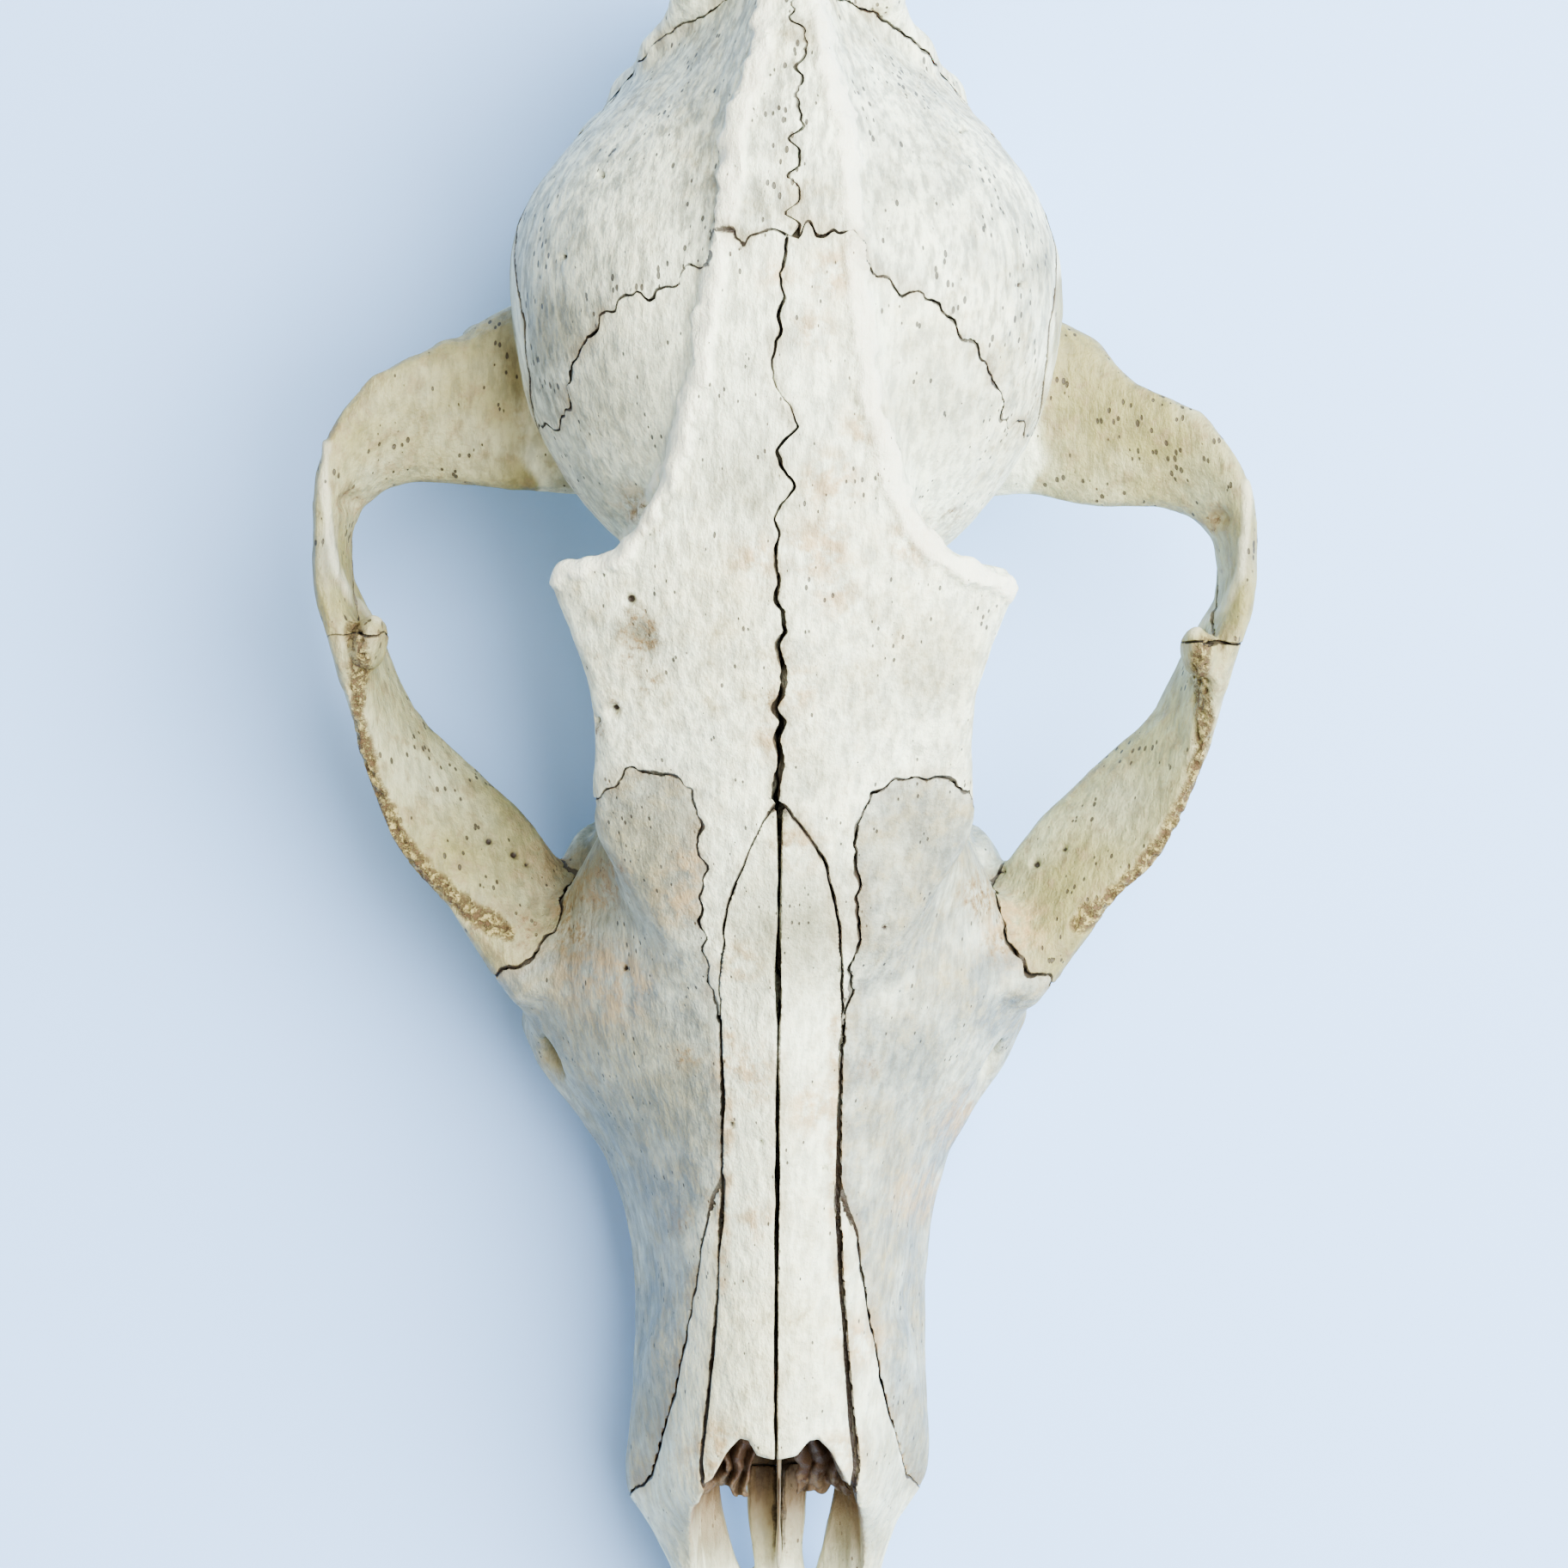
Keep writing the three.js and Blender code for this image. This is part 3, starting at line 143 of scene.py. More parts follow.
def ramp(value, start, end):
    """0 at start, 1 at end, with a soft beginning and a soft finish."""
    share = np.clip((value - start) / (end - start), 0, 1)
    return share * share * (3 - 2 * share)


# %% [markdown]
# ## Noise that looks the same on every run
# Bone is never quite even. A lattice of random numbers with a fixed seed, read between its points
# with soft steps, gives bumps of a chosen length anywhere in space, and the same ones each time. A
# shift moves the lattice, so that two noises of one length differ.

# %% Lattice noise
LATTICE_SEED = 7
LATTICE_SIDE = 64
LATTICE_START = 1000
LATTICE = np.random.default_rng(LATTICE_SEED).uniform(-1, 1, (LATTICE_SIDE,) * 3)


def noise(points, length, shift=0.0):
    """Soft random values from -1 to 1, with bumps about one length apart."""
    spot = points / length + shift + LATTICE_START
    cell = np.floor(spot).astype(int)
    part = spot - cell
    part = part * part * (3 - 2 * part)
    result = np.zeros(len(points))
    for dx in (0, 1):
        for dy in (0, 1):
            for dz in (0, 1):
                corner = (cell + (dx, dy, dz)) % LATTICE_SIDE
                weight = np.prod(np.where((dx, dy, dz), part, 1 - part), axis=1)
                result += weight * LATTICE[corner[:, 0], corner[:, 1], corner[:, 2]]
    return result


# %% [markdown]
# ## Where the photo shows a point
# The photo looks straight down from 442 mm above the board, and higher bone is nearer to the camera
# and looks larger. The same sum, turned round, is the camera at the end, so marks that are placed by
# the picture come out where it has them.

# %% The camera's sums
CAMERA_HEIGHT = 442.0
FOCAL_PIXELS = 5964.0
PICTURE_CENTRE = (911.5, 912.5)
PICTURE_TURN = 0.006
PICTURE_SIZE = 1825


def seen_at(points):
    scale = FOCAL_PIXELS / (CAMERA_HEIGHT - points[:, 2])
    down = -points[:, 1] * scale
    across = points[:, 0] * scale - down * PICTURE_TURN
    return np.column_stack([PICTURE_CENTRE[0] + across, PICTURE_CENTRE[1] + down])


def distance_to_line(seen, line):
    """How far each seen point lies from a bent line, in pixels."""
    nearest = np.full(len(seen), np.inf)
    for start, end in zip(np.array(line[:-1], float), np.array(line[1:], float)):
        along = end - start
        share = np.clip(((seen - start) @ along) / (along @ along), 0, 1)
        nearest = np.minimum(nearest, np.linalg.norm(seen - start - share[:, None] * along, axis=1))
    return nearest


# %% [markdown]
# ## One smooth skin over the whole skull
# The solids have flat faces a few millimetres wide. If each bone were smoothed by itself, its edges
# would round off and the sutures would become grooves. So all bones are first joined into one skin
# without sutures, which is smoothed as a whole, and every bone later takes its own part of that
# change. Each smoothing step is followed by one that swells the shape again, so that thin plates
# keep their thickness.

# %% The skin
CLOSING = 0.2
SKIN_VOXEL = 0.5
SMOOTHING_ROUNDS = 70
TOOTH_ROUNDS = 12
SHRINK = 0.5
SWELL = -0.51

skin_parts = [merged_copy(node, f"skin_{name}") for name, node in sorted(nodes.items())]
select_only(*skin_parts)
bpy.ops.object.join()
skin = skin_parts[0]
apply_modifier(skin, "DISPLACE", strength=CLOSING * MM, mid_level=0.0)
apply_modifier(skin, "REMESH", mode="VOXEL", voxel_size=SKIN_VOXEL * MM)
skin_start = places(skin)
skin_edges = edges(skin)
smoothed = skin_start
for step in range(SMOOTHING_ROUNDS):
    smoothed = eased(eased(smoothed, skin_edges, SHRINK), skin_edges, SWELL)
    if step + 1 == TOOTH_ROUNDS:
        lightly = smoothed
set_places(skin, smoothed)
skin_normals = normals(skin)
skin_tree = KDTree(len(skin_start))
for index, point in enumerate(skin_start):
    skin_tree.insert(point, index)
skin_tree.balance()
moved = np.linalg.norm(smoothed - skin_start, axis=1)
print("skin vertices:", len(skin_start))
print("moved, mean and most, in mm:", moved.mean().round(3), moved.max().round(2))
remove(skin)

# %% [markdown]
# ## What kind of suture parts each pair of bones
# Along the forehead the sutures zigzag finely, on the snout they run straight and have opened with
# drying, and on the side of the braincase one bone laps over the other with a plain edge. Each kind
# has a size of its zigzag, the length of one zig and zag, and the gap that is left.

# %% Kinds of suture
DEFAULT_SUTURE = (0.15, 1.2, 0.05)
SUTURES = {
    ("frontal", "frontal"): (0.34, 1.2, 0.06),
    ("frontal", "parietal"): (0.6, 1.3, 0.07),
    ("parietal", "parietal"): (0.5, 0.95, 0.08),
    ("frontal", "maxilla"): (0.36, 1.1, 0.06),
    ("frontal", "nasal"): (0.1, 1.6, 0.04),
    ("nasal", "nasal"): (0.03, 3.0, 0.3),
    ("maxilla", "nasal"): (0.04, 3.0, 0.18),
    ("nasal", "premaxilla"): (0.03, 3.0, 0.28),
    ("maxilla", "premaxilla"): (0.14, 1.1, 0.05),
    ("premaxilla", "premaxilla"): (0.05, 2.0, 0.1),
    ("maxilla", "zygomatic"): (0.5, 1.1, 0.2),
    ("temporal", "zygomatic"): (0.3, 2.4, 0.03),
    ("occipital", "parietal"): (0.26, 1.1, 0.05),
    ("parietal", "temporal"): (0.12, 1.3, 0.05),
    ("frontal", "temporal"): (0.12, 1.3, 0.05),
}
CUT_GAP = 0.3
names = sorted(nodes)


def kind_of(name):
    return name.replace("_left", "").replace("_right", "")


def suture_between(name, other):
    return SUTURES.get(tuple(sorted((kind_of(name), kind_of(other)))), DEFAULT_SUTURE)


print("kinds of suture:", len(SUTURES) + 1)

# %% [markdown]
# ## The sutures' own paths
# The middle line of the skull isn't straight. On the snout it is an open crack, between the
# forehead's bones it winds from side to side, and along the braincase it wanders. Its path is read
# off the picture, as distances from the straight cut between the solids.

# %% The winding middle line
MIDLINE_SEEN = [
    (932, 60), (926, 100), (928, 150), (923, 200), (924, 250), (922, 272), (913, 330), (908, 370),
    (899, 410), (897, 445), (912, 472), (924, 500), (906, 528), (910, 545), (920, 570), (908, 590),
    (904, 606), (909, 650), (907, 700), (909, 760), (906, 850), (907, 937),
]
MIDLINE_TOP = 45.0


def midline_offset(y):
    """How far the winding line lies off the straight cut, in mm, at places along the skull."""
    scale = FOCAL_PIXELS / (CAMERA_HEIGHT - MIDLINE_TOP)
    seen = np.array(MIDLINE_SEEN, float)
    along = (PICTURE_CENTRE[1] - seen[:, 1]) / scale
    across = (seen[:, 0] - PICTURE_CENTRE[0] - along * scale * PICTURE_TURN) / scale
    order = np.argsort(along)
    return np.interp(y, along[order], across[order])


most_off = np.abs(midline_offset(np.linspace(-5, 55, 200))).max()
print("middle line is off by up to", most_off.round(2), "mm")

# %% [markdown]
# ## The solids as tables, and a fine mesh for each bone
# A copy of each solid is remeshed into small even squares and pulled back onto the solid, with
# smaller squares on the bones that the camera sees best. A remesh eats edges that are thinner than
# its squares, and the nasal bones have such edges, so their long edges are split in half instead,
# round after round. The solids' own triangles are kept as tables, to find the next bone with.

# %% Fine meshes
VOXELS = {
    "frontal": 0.235, "parietal": 0.235, "premaxilla": 0.23, "maxilla": 0.29, "zygomatic": 0.21,
    "temporal": 0.27, "vomer": 0.22, "occipital": 0.32, "skull_base": 0.34, "bulla": 0.34,
}
NASAL_EDGE = 0.38


def split_edges(thing, chosen):
    mesh = thing.data
    bpy.context.tool_settings.mesh_select_mode = (False, True, False)
    mesh.vertices.foreach_set("select", np.zeros(len(mesh.vertices), bool))
    mesh.polygons.foreach_set("select", np.zeros(len(mesh.polygons), bool))
    mesh.edges.foreach_set("select", chosen)
    select_only(thing)
    bpy.ops.object.mode_set(mode="EDIT")
    bpy.ops.mesh.subdivide(number_cuts=1)
    bpy.ops.mesh.select_all(action="SELECT")
    bpy.ops.mesh.quads_convert_to_tris(quad_method="SHORTEST_DIAGONAL")
    bpy.ops.object.mode_set(mode="OBJECT")


def split_until(thing, limit):
    while True:
        ends = places(thing)[edges(thing)]
        chosen = np.linalg.norm(ends[:, 0] - ends[:, 1], axis=1) > limit
        if not chosen.any():
            return
        split_edges(thing, chosen)


solid_points, solid_faces, bones = {}, {}, {}
for name in names:
    solid = merged_copy(nodes[name], f"solid_{name}")
    bone = merged_copy(nodes[name], f"bone_{name}")
    if kind_of(name) == "nasal":
        split_until(bone, NASAL_EDGE)
    else:
        apply_modifier(bone, "REMESH", mode="VOXEL", voxel_size=VOXELS[kind_of(name)] * MM)
        apply_modifier(bone, "SHRINKWRAP", target=solid, wrap_method="NEAREST_SURFACEPOINT")
    solid_points[name] = places(solid)
    solid_faces[name] = table(solid.data.polygons, "vertices", 3, np.int32)
    bones[name] = bone
    remove(solid)
face_counts = [len(bone.data.polygons) for bone in bones.values()]
print("faces in all, and most on one bone:", sum(face_counts), max(face_counts))

# %% [markdown]
# ## How near the next bone is
# For each vertex the nearest point of any other bone is looked up. It tells how near the suture is,
# which way it lies, and, by the other bone's name, which kind of suture it is.

# %% Looking for the next bone
REACH = 3.0


def nearest_other(name, points):
    others = [other for other in names if other != name]
    counts = [len(solid_points[other]) for other in others]
    firsts = np.concatenate([[0], np.cumsum(counts)[:-1]])
    corners = np.concatenate([solid_points[other] for other in others])
    faces = np.concatenate([solid_faces[other] + first for other, first in zip(others, firsts)])
    owners = np.concatenate([np.full(len(solid_faces[other]), names.index(other)) for other in others])
    tree = BVHTree.FromPolygons(corners.tolist(), faces.tolist())
    found = points.copy()
    distance = np.full(len(points), REACH)
    owner = np.full(len(points), -1)
    for index, point in enumerate(points.tolist()):
        spot, _, face, far = tree.find_nearest(point, REACH)
        if spot is not None:
            found[index] = spot
            distance[index] = far
            owner[index] = owners[face]
    return found, distance, owner


# %% [markdown]
# ## Gaps that have opened
# The bones of a dry skull shrink apart where the suture is plain. The crack between the nasal bones
# runs on into the forehead, and the one on the right of the nose widens towards the tip. The others
# vary with noise, and those on the floor of the nose are nearly closed.

# %% The width of each gap
MIDLINE_GAPS = [(-57, 0.38), (-33, 0.34), (-12, 0.4), (-5, 0.46), (9, 0.44), (14, 0.3), (19, 0.1)]
RIGHT_NOSE_GAPS = [(-58, 0.62), (-47, 0.5), (-33, 0.36), (-20, 0.16)]
GAP_CHANGE = 0.6
GAP_CHANGE_LENGTH = 3.5
FLOOR_HALF = 7.0
FLOOR_TOP = 16.0
FLOOR_GAP = 0.02


def gap_width(name, other, meeting):
    gap = np.full(len(meeting), suture_between(name, other)[2])
    pair = {kind_of(name), kind_of(other)}
    along = meeting[:, 1]
    if pair <= {"nasal", "frontal"} and len(pair) == 1:
        gap = np.interp(along, *zip(*MIDLINE_GAPS))
    elif "nasal_right" in (name, other) and pair & {"premaxilla", "maxilla"}:
        gap = np.interp(along, *zip(*RIGHT_NOSE_GAPS))
    else:
        gap *= 1 + GAP_CHANGE * noise(meeting, GAP_CHANGE_LENGTH)
        on_floor = (np.abs(meeting[:, 0]) < FLOOR_HALF) & (meeting[:, 2] < FLOOR_TOP)
        gap = np.where(on_floor, FLOOR_GAP, gap)
    return gap


# %% [markdown]
# ## The three moves of a vertex
# Near a suture the gap closes to its width and the edge zigzags, by the same noise on both bones
# and in opposite senses, so that one bone's points fit the other's notches. The nasal bones lie on
# a ledge of their neighbours, so they alone close their gap, sideways. Near the middle of the roof
# everything follows the winding line. Every vertex also takes the smooth skin's change, and what is
# left of the solid's flat faces is softened away from the sutures. Last, the vomer is drawn together
# sideways, because the real one is a thin plate.

# %% Moving the vertices
RIM = 0.42
CLOSE_WITHIN = (1.3, RIM)
NASAL_SIDES = ({"nasal", "maxilla"}, {"nasal", "premaxilla"}, {"nasal", "frontal"})
ZIGZAG_WITHIN = (1.5, 0.4)
ZIGZAG_GAIN = 1.7
FINE_ZIGZAG = 0.4
FINE_LENGTH = 0.42
FINE_SHIFT = 31.5
MIDLINE_WITHIN = (3.2, 0.4)
ROOF_FROM = (20, 28)
MIDLINE_ENDS = (62, 57)
TOOTH_LINE = (8.4, 6.4)
TOOTH_KEEPS = 0.8
PLATE_THINNING = 0.32
SHIFT_ROUNDS = 4
SOFTEN_FROM = (0.5, 1.3)
SOFTEN_ROUNDS = 3
TINY = 1e-9
skin_shift = smoothed - skin_start
tooth_shift = lightly - skin_start


def unit(vectors):
    return vectors / np.maximum(np.linalg.norm(vectors, axis=1), TINY)[:, None]


def zigzag_wave(points, length):
    coarse = np.clip(ZIGZAG_GAIN * noise(points, length), -1, 1)
    return coarse + FINE_ZIGZAG * noise(points, length * FINE_LENGTH, FINE_SHIFT)


def shaped(name):
    """The new places of a bone's vertices, and how far each lies from the bone's own edge."""
    bone = bones[name]
    points = places(bone)
    pairs = edges(bone)
    nearest_skin = np.array([skin_tree.find(point)[1] for point in points.tolist()])
    tooth = ramp(points[:, 2], *TOOTH_LINE)[:, None]
    shift = skin_shift[nearest_skin] * (1 - tooth) + tooth_shift[nearest_skin] * tooth
    for _ in range(SHIFT_ROUNDS):
        shift = eased(shift, pairs, 1.0)
    outwards = unit(eased(skin_normals[nearest_skin], pairs, 1.0))
    found, distance, owner = nearest_other(name, points)
    toward = unit(found - points)
    sideways = toward - outwards * np.sum(toward * outwards, axis=1)[:, None]
    meeting = found - toward * CUT_GAP / 2
    move = np.zeros_like(points)
    for number in np.unique(owner[owner >= 0]):
        near = owner == number
        other = names[number]
        zigzag, length, _ = suture_between(name, other)
        sense = 1 if name < other else -1
        spot = meeting[near]
        gap = gap_width(name, other, spot)
        closing = (np.clip(distance[near], CUT_GAP, RIM) - gap) / 2
        closing = closing * ramp(distance[near], *CLOSE_WITHIN)
        way = toward[near]
        if {kind_of(name), kind_of(other)} in NASAL_SIDES:
            closing *= 2 * (kind_of(name) == "nasal")
            way = np.sign(points[near][:, :1]) * (1, 0, 0)
        push = sense * zigzag * zigzag_wave(spot, length) * ramp(distance[near], *ZIGZAG_WITHIN)
        move[near] = way * closing[:, None] + sideways[near] * push[:, None]
    on_roof = ramp(np.abs(points[:, 0]), *MIDLINE_WITHIN) * ramp(points[:, 2], *ROOF_FROM)
    move[:, 0] += midline_offset(points[:, 1]) * on_roof * ramp(points[:, 1], *MIDLINE_ENDS)
    free = ramp(distance, *SOFTEN_FROM)[:, None] * (1 - TOOTH_KEEPS * tooth)
    placed = points + shift
    for _ in range(SOFTEN_ROUNDS):
        placed += free * (eased(placed, pairs, 1.0) - placed)
    placed += move
    if name == "vomer":
        placed[:, 0] *= PLATE_THINNING
    return placed, np.maximum(distance - CUT_GAP, 0)


edge_distance = {}
for name in names:
    points, edge_distance[name] = shaped(name)
    set_places(bones[name], points)
print("bones shaped:", len(edge_distance))

# %% [markdown]
# ## Marks that follow the picture
# Some marks belong to this very skull: the two temporal ridges, the worn porous band along the outer
# edge of each cheek bone, small holes for vessels, and brown stains beside the cracks. Each is a line
# or a spot in the picture's pixels, and a vertex takes it by where the camera sees it. A spot is its
# middle and its radius, and then the depth of a hollow in mm, or the strength of an olive-grey spot,
# partly thin bone's own grey and partly painted shade where slopes and hollows turn from the light.

# %% Lines read off the picture
RIDGES = [
    [(640, 675), (690, 657), (725, 640), (745, 615), (785, 540), (800, 490), (815, 430), (830, 330),
     (846, 250), (852, 180), (862, 130), (885, 70), (893, 0)],
    [(1183, 685), (1130, 668), (1095, 650), (1060, 610), (1040, 570), (1025, 510), (1010, 450),
     (998, 330), (993, 280), (992, 230), (985, 150), (970, 100), (958, 60), (950, 0)],
]
ARCH_BANDS = [
    [(412, 738), (421, 765), (416, 839), (432, 910), (459, 968), (495, 1019), (550, 1064), (590, 1084)],
    [(1405, 745), (1397, 775), (1403, 845), (1384, 919), (1357, 976), (1316, 1022), (1256, 1072)],
]
ARCH_RIMS = [
    [(380, 520), (377, 566), (383, 626), (392, 670), (410, 701), (440, 724)],
    [(1452, 560), (1450, 610), (1444, 665), (1425, 705), (1400, 722), (1388, 735)],
]
WARM_LINES = [
    [(848, 1190), (847, 1300), (842, 1400), (838, 1500)],
    [(972, 1190), (971, 1300), (974, 1400), (979, 1500)],
]

# %% Spots read off the picture
# Vessel holes: dented, and painted dark inside as shade.
HOLES = [
    (733, 699, 5), (713, 828, 4), (693, 840, 4), (726, 1128, 3.5), (1031, 1080, 3.5), (850, 1310, 3),
    (570, 980, 4), (600, 995, 4), (615, 1006, 2.5), (1205, 1003, 4), (1165, 1012, 3.5),
    (1238, 985, 3), (885, 1330, 2), (960, 1360, 2), (700, 205, 2.5), (1120, 150, 2.5), (655, 300, 3),
    (1190, 330, 3),
]
STAINS = [
    (408, 590, 18), (1418, 600, 16), (640, 1000, 20), (660, 1060, 22), (610, 1085, 22),
    (735, 770, 14), (742, 720, 14), (745, 742, 26), (714, 822, 10), (757, 795, 14), (897, 820, 16),
    (912, 760, 12), (690, 850, 16), (700, 1030, 34), (665, 1090, 26), (1140, 1040, 26),
    (1165, 1100, 22), (800, 1230, 14), (1010, 1240, 12), (908, 978, 12), (745, 590, 14),
    (1110, 600, 14), (430, 600, 22), (1412, 610, 16), (790, 1420, 14), (560, 1075, 20),
]
CREAM_SPOTS = [
    (650, 985, 60), (700, 1060, 70), (600, 1090, 60), (1180, 985, 50), (1140, 1070, 60),
    (800, 1170, 40), (1045, 1160, 40), (690, 1230, 60), (1140, 1240, 60),
]
WARM_SPOTS = [
    (1120, 1300, 40), (975, 315, 38), (945, 385, 32), (965, 560, 42), (955, 640, 46),
    (1003, 500, 30), (975, 690, 32), (880, 650, 34), (1065, 630, 38), (928, 800, 32), (898, 860, 28),
    (870, 1250, 44), (862, 1120, 32), (932, 985, 34), (735, 590, 32), (790, 1050, 34),
    (700, 1150, 60), (830, 1690, 44), (1000, 1560, 36), (1075, 1390, 40), (640, 1010, 40),
    (1180, 1080, 44), (800, 1010, 30), (905, 320, 24), (985, 1690, 34), (880, 1420, 30),
    (945, 1290, 34),
]
HOLLOWS = [
    (742, 748, 30, 0.5), (714, 828, 12, 0.5), (408, 588, 20, 0.7), (1418, 600, 18, 0.7),
    (1062, 880, 22, 0.25), (700, 1055, 26, 0.3),
]
# Olive-grey spots: partly thin bone's own grey, partly painted shade on slopes and hollows.
GREY_AND_SHADE_SPOTS = [
    (925, 1080, 120, 0.95), (880, 560, 110, 0.55), (700, 470, 130, 0.7), (640, 380, 100, 0.95),
    (820, 1790, 80, 0.9), (760, 1640, 80, 0.6), (700, 1020, 150, 0.8), (745, 1280, 130, 0.75),
    (1050, 1700, 90, 0.6), (385, 650, 70, 0.95), (1225, 310, 70, 0.75), (1080, 1230, 90, 0.3),
    (1000, 1790, 70, 0.7), (1060, 1000, 110, 0.3), (740, 740, 50, 0.8), (940, 900, 50, 0.4),
    (1440, 640, 60, 0.7), (1300, 930, 70, 0.5), (665, 1200, 100, 0.8), (690, 560, 80, 0.6),
    (1090, 470, 120, 0.5), (1090, 780, 90, 0.35), (690, 300, 90, 0.3), (1035, 225, 60, 0.35),
    (830, 100, 60, 0.4),
]

print("marks read off the picture:", sum(len(spots) for spots in (HOLES, STAINS, HOLLOWS, GREY_AND_SHADE_SPOTS)))

# %% [markdown]
# ## Distances in the picture
# A mark's edge is never drawn with a ruler. Its distance is roughened with waves of noise, each with
# a height, a length in mm and a shift, before it is turned into a soft edge.

# %% Distances
def far_from(seen, across, down):
    return np.hypot(seen[:, 0] - across, seen[:, 1] - down)


def nearest_spot(seen, spots):
    """How far each seen point lies outside the nearest of some round spots, in pixels."""
    nearest = np.full(len(seen), np.inf)
    for across, down, radius in spots:
        nearest = np.minimum(nearest, far_from(seen, across, down) - radius)
    return nearest


def nearest_line(seen, lines):
    return np.minimum(*(distance_to_line(seen, line) for line in lines))


def ragged(values, points, waves):
    for height, length, shift in waves:
        values = values + height * noise(points, length, shift)
    return values


# %% [markdown]
# ## Ridges, rims and the worn band
# The two ragged temporal ridges show where the jaw muscle was tied to the bone. The thin upper rims
# of the arches stand up half as high. Along the outer edge of each cheek bone runs a band that is
# worn down to brown pores.

# %% Ridges and bands
RIDGE_EDGE = (16, 7)
RIDGE_WAVES = ((6.0, 1.2, 21.0), (3.0, 0.5, 21.0))
RIM_EDGE = (8, 2)
RIM_WAVES = ((2.0, 0.9, 21.0),)
RIM_STRENGTH = 0.5
BAND_EDGE = (14, 5)
BAND_WAVES = ((5.0, 2.2, 22.0), (3.0, 0.7, 23.0))
BAND_FACING = (-0.35, 0.15)


def ridge_share(kind, seen, points, upwards):
    if kind in ("temporal", "zygomatic"):
        from_rim = ragged(nearest_line(seen, ARCH_RIMS), points, RIM_WAVES)
        return RIM_STRENGTH * ramp(from_rim, *RIM_EDGE) * upwards
    if kind in ("frontal", "parietal", "occipital"):
        from_ridge = ragged(nearest_line(seen, RIDGES), points, RIDGE_WAVES)
        return ramp(from_ridge, *RIDGE_EDGE) * upwards
    return np.zeros(len(points))


def band_share(kind, seen, points, outwards):
    if kind not in ("zygomatic", "maxilla", "temporal"):
        return np.zeros(len(points))
    from_band = ragged(nearest_line(seen, ARCH_BANDS), points, BAND_WAVES)
    return ramp(from_band, *BAND_EDGE) * ramp(outwards[:, 2], *BAND_FACING)


# %% [markdown]
# ## Stains, warmth, painted shade and tone
# These only tell the material where the bone is brown, warm, grey or painted with shade. The tone is
# one number for each kind of bone, low for the sides of the snout, whose own cool grey is darkened
# further as painted shade, and high for the tan arches. It changes gradually where the arch leaves
# the braincase.

# %% Stains and tone
STAIN_EDGE = (12, -16)
WARM_EDGE = (14, -30)
WARM_LINE_EDGE = (13, 3)
WARM_WAVES = ((3.0, 1.5, 26.0),)
# The maxilla's low tone is partly its own cool grey and partly painted shade on the snout's sides.
TONES = {
    "frontal": 0.15, "parietal": -0.15, "nasal": 0.4, "premaxilla": 0.4, "maxilla": -1.1,
    "temporal": -0.1, "zygomatic": 0.75, "occipital": 0.1, "skull_base": 0.3, "bulla": 0.1, "vomer": 0.2,
}
ARCH_TONE = 0.85
ARCH_FROM_X = (19.0, 22.5)
ARCH_WAVES = ((2.0, 3.0, 24.0),)
CREAM_TONE = 0.35
CREAM_EDGE = (8, -45)
CREAM_WAVES = ((12.0, 2.0, 25.0),)


def warmth_share(seen, points, upwards):
    in_spots = ramp(nearest_spot(seen, WARM_SPOTS), *WARM_EDGE)
    on_lines = ramp(ragged(nearest_line(seen, WARM_LINES), points, WARM_WAVES), *WARM_LINE_EDGE)
    return np.maximum(in_spots, on_lines) * upwards


# Painted shade mixed with thin bone's grey, strongest at each spot's middle.
def grey_and_shade_share(seen, upwards):
    shade = np.zeros(len(seen))
    for across, down, radius, strength in GREY_AND_SHADE_SPOTS:
        shade = np.maximum(shade, strength * ramp(far_from(seen, across, down), radius, 0)) * upwards
    return shade


def tone_of(kind, seen, points):
    tone = np.full(len(points), TONES[kind])
    if kind == "temporal":
        from_middle = ragged(np.abs(points[:, 0]), points, ARCH_WAVES)
        tone += (ARCH_TONE - tone) * ramp(from_middle, *ARCH_FROM_X)
    if kind == "maxilla":
        from_cream = ragged(nearest_spot(seen, CREAM_SPOTS), points, CREAM_WAVES)
        tone += CREAM_TONE * ramp(from_cream, *CREAM_EDGE)
    return tone


# %% [markdown]
# ## The inside of the nose, and small holes
# The walls of the nose are brown, and they are the faces that look at the nose's axis; deeper in, the
# same mask also paints shade. A hole is kept as the distance to its edge in mm, below 0 inside it,
# and its inside is painted dark as shade. The gap at the right of the nasal bones is open and dark, so
# the ledge in it counts as the inside of a hole and is painted dark as shade too.

# %% Nose and holes
NOSE_AXIS_Z = 18.6
NOSE_WALL = (11.8, 10.6)
NOSE_BACK = (-43, -45)
NOSE_FACING = (-0.2, 0.4)
NOSE_FADE = (-68, -54)
NEAR_AXIS = 0.1
VOMER_NOSE = 0.35
PIXELS_PER_MM = 14.8
HOLE_FACING = 0.3
FAR_PIXELS = 99
RIGHT_GAP_EDGE = [(1100, 971), (1320, 975), (1479, 979.5), (1575, 987), (1702, 998.5), (1745, 1000)]
GAP_EDGE_LEFT = 1
IN_GAP = -1.0


# Brown walls and painted shade inside the nose, on the faces that look at its axis.
def nose_share(name, points, outwards):
    axis = np.column_stack([points[:, 0], points[:, 2] - NOSE_AXIS_Z])
    from_axis = np.linalg.norm(axis, axis=1)
    facing_in = -np.sum(axis * outwards[:, [0, 2]], axis=1) / np.maximum(from_axis, NEAR_AXIS)
    in_front = ramp(points[:, 1], *NOSE_BACK)
    nose = in_front * ramp(from_axis, *NOSE_WALL) * ramp(facing_in, *NOSE_FACING)
    return np.maximum(nose, VOMER_NOSE) if name == "vomer" else nose


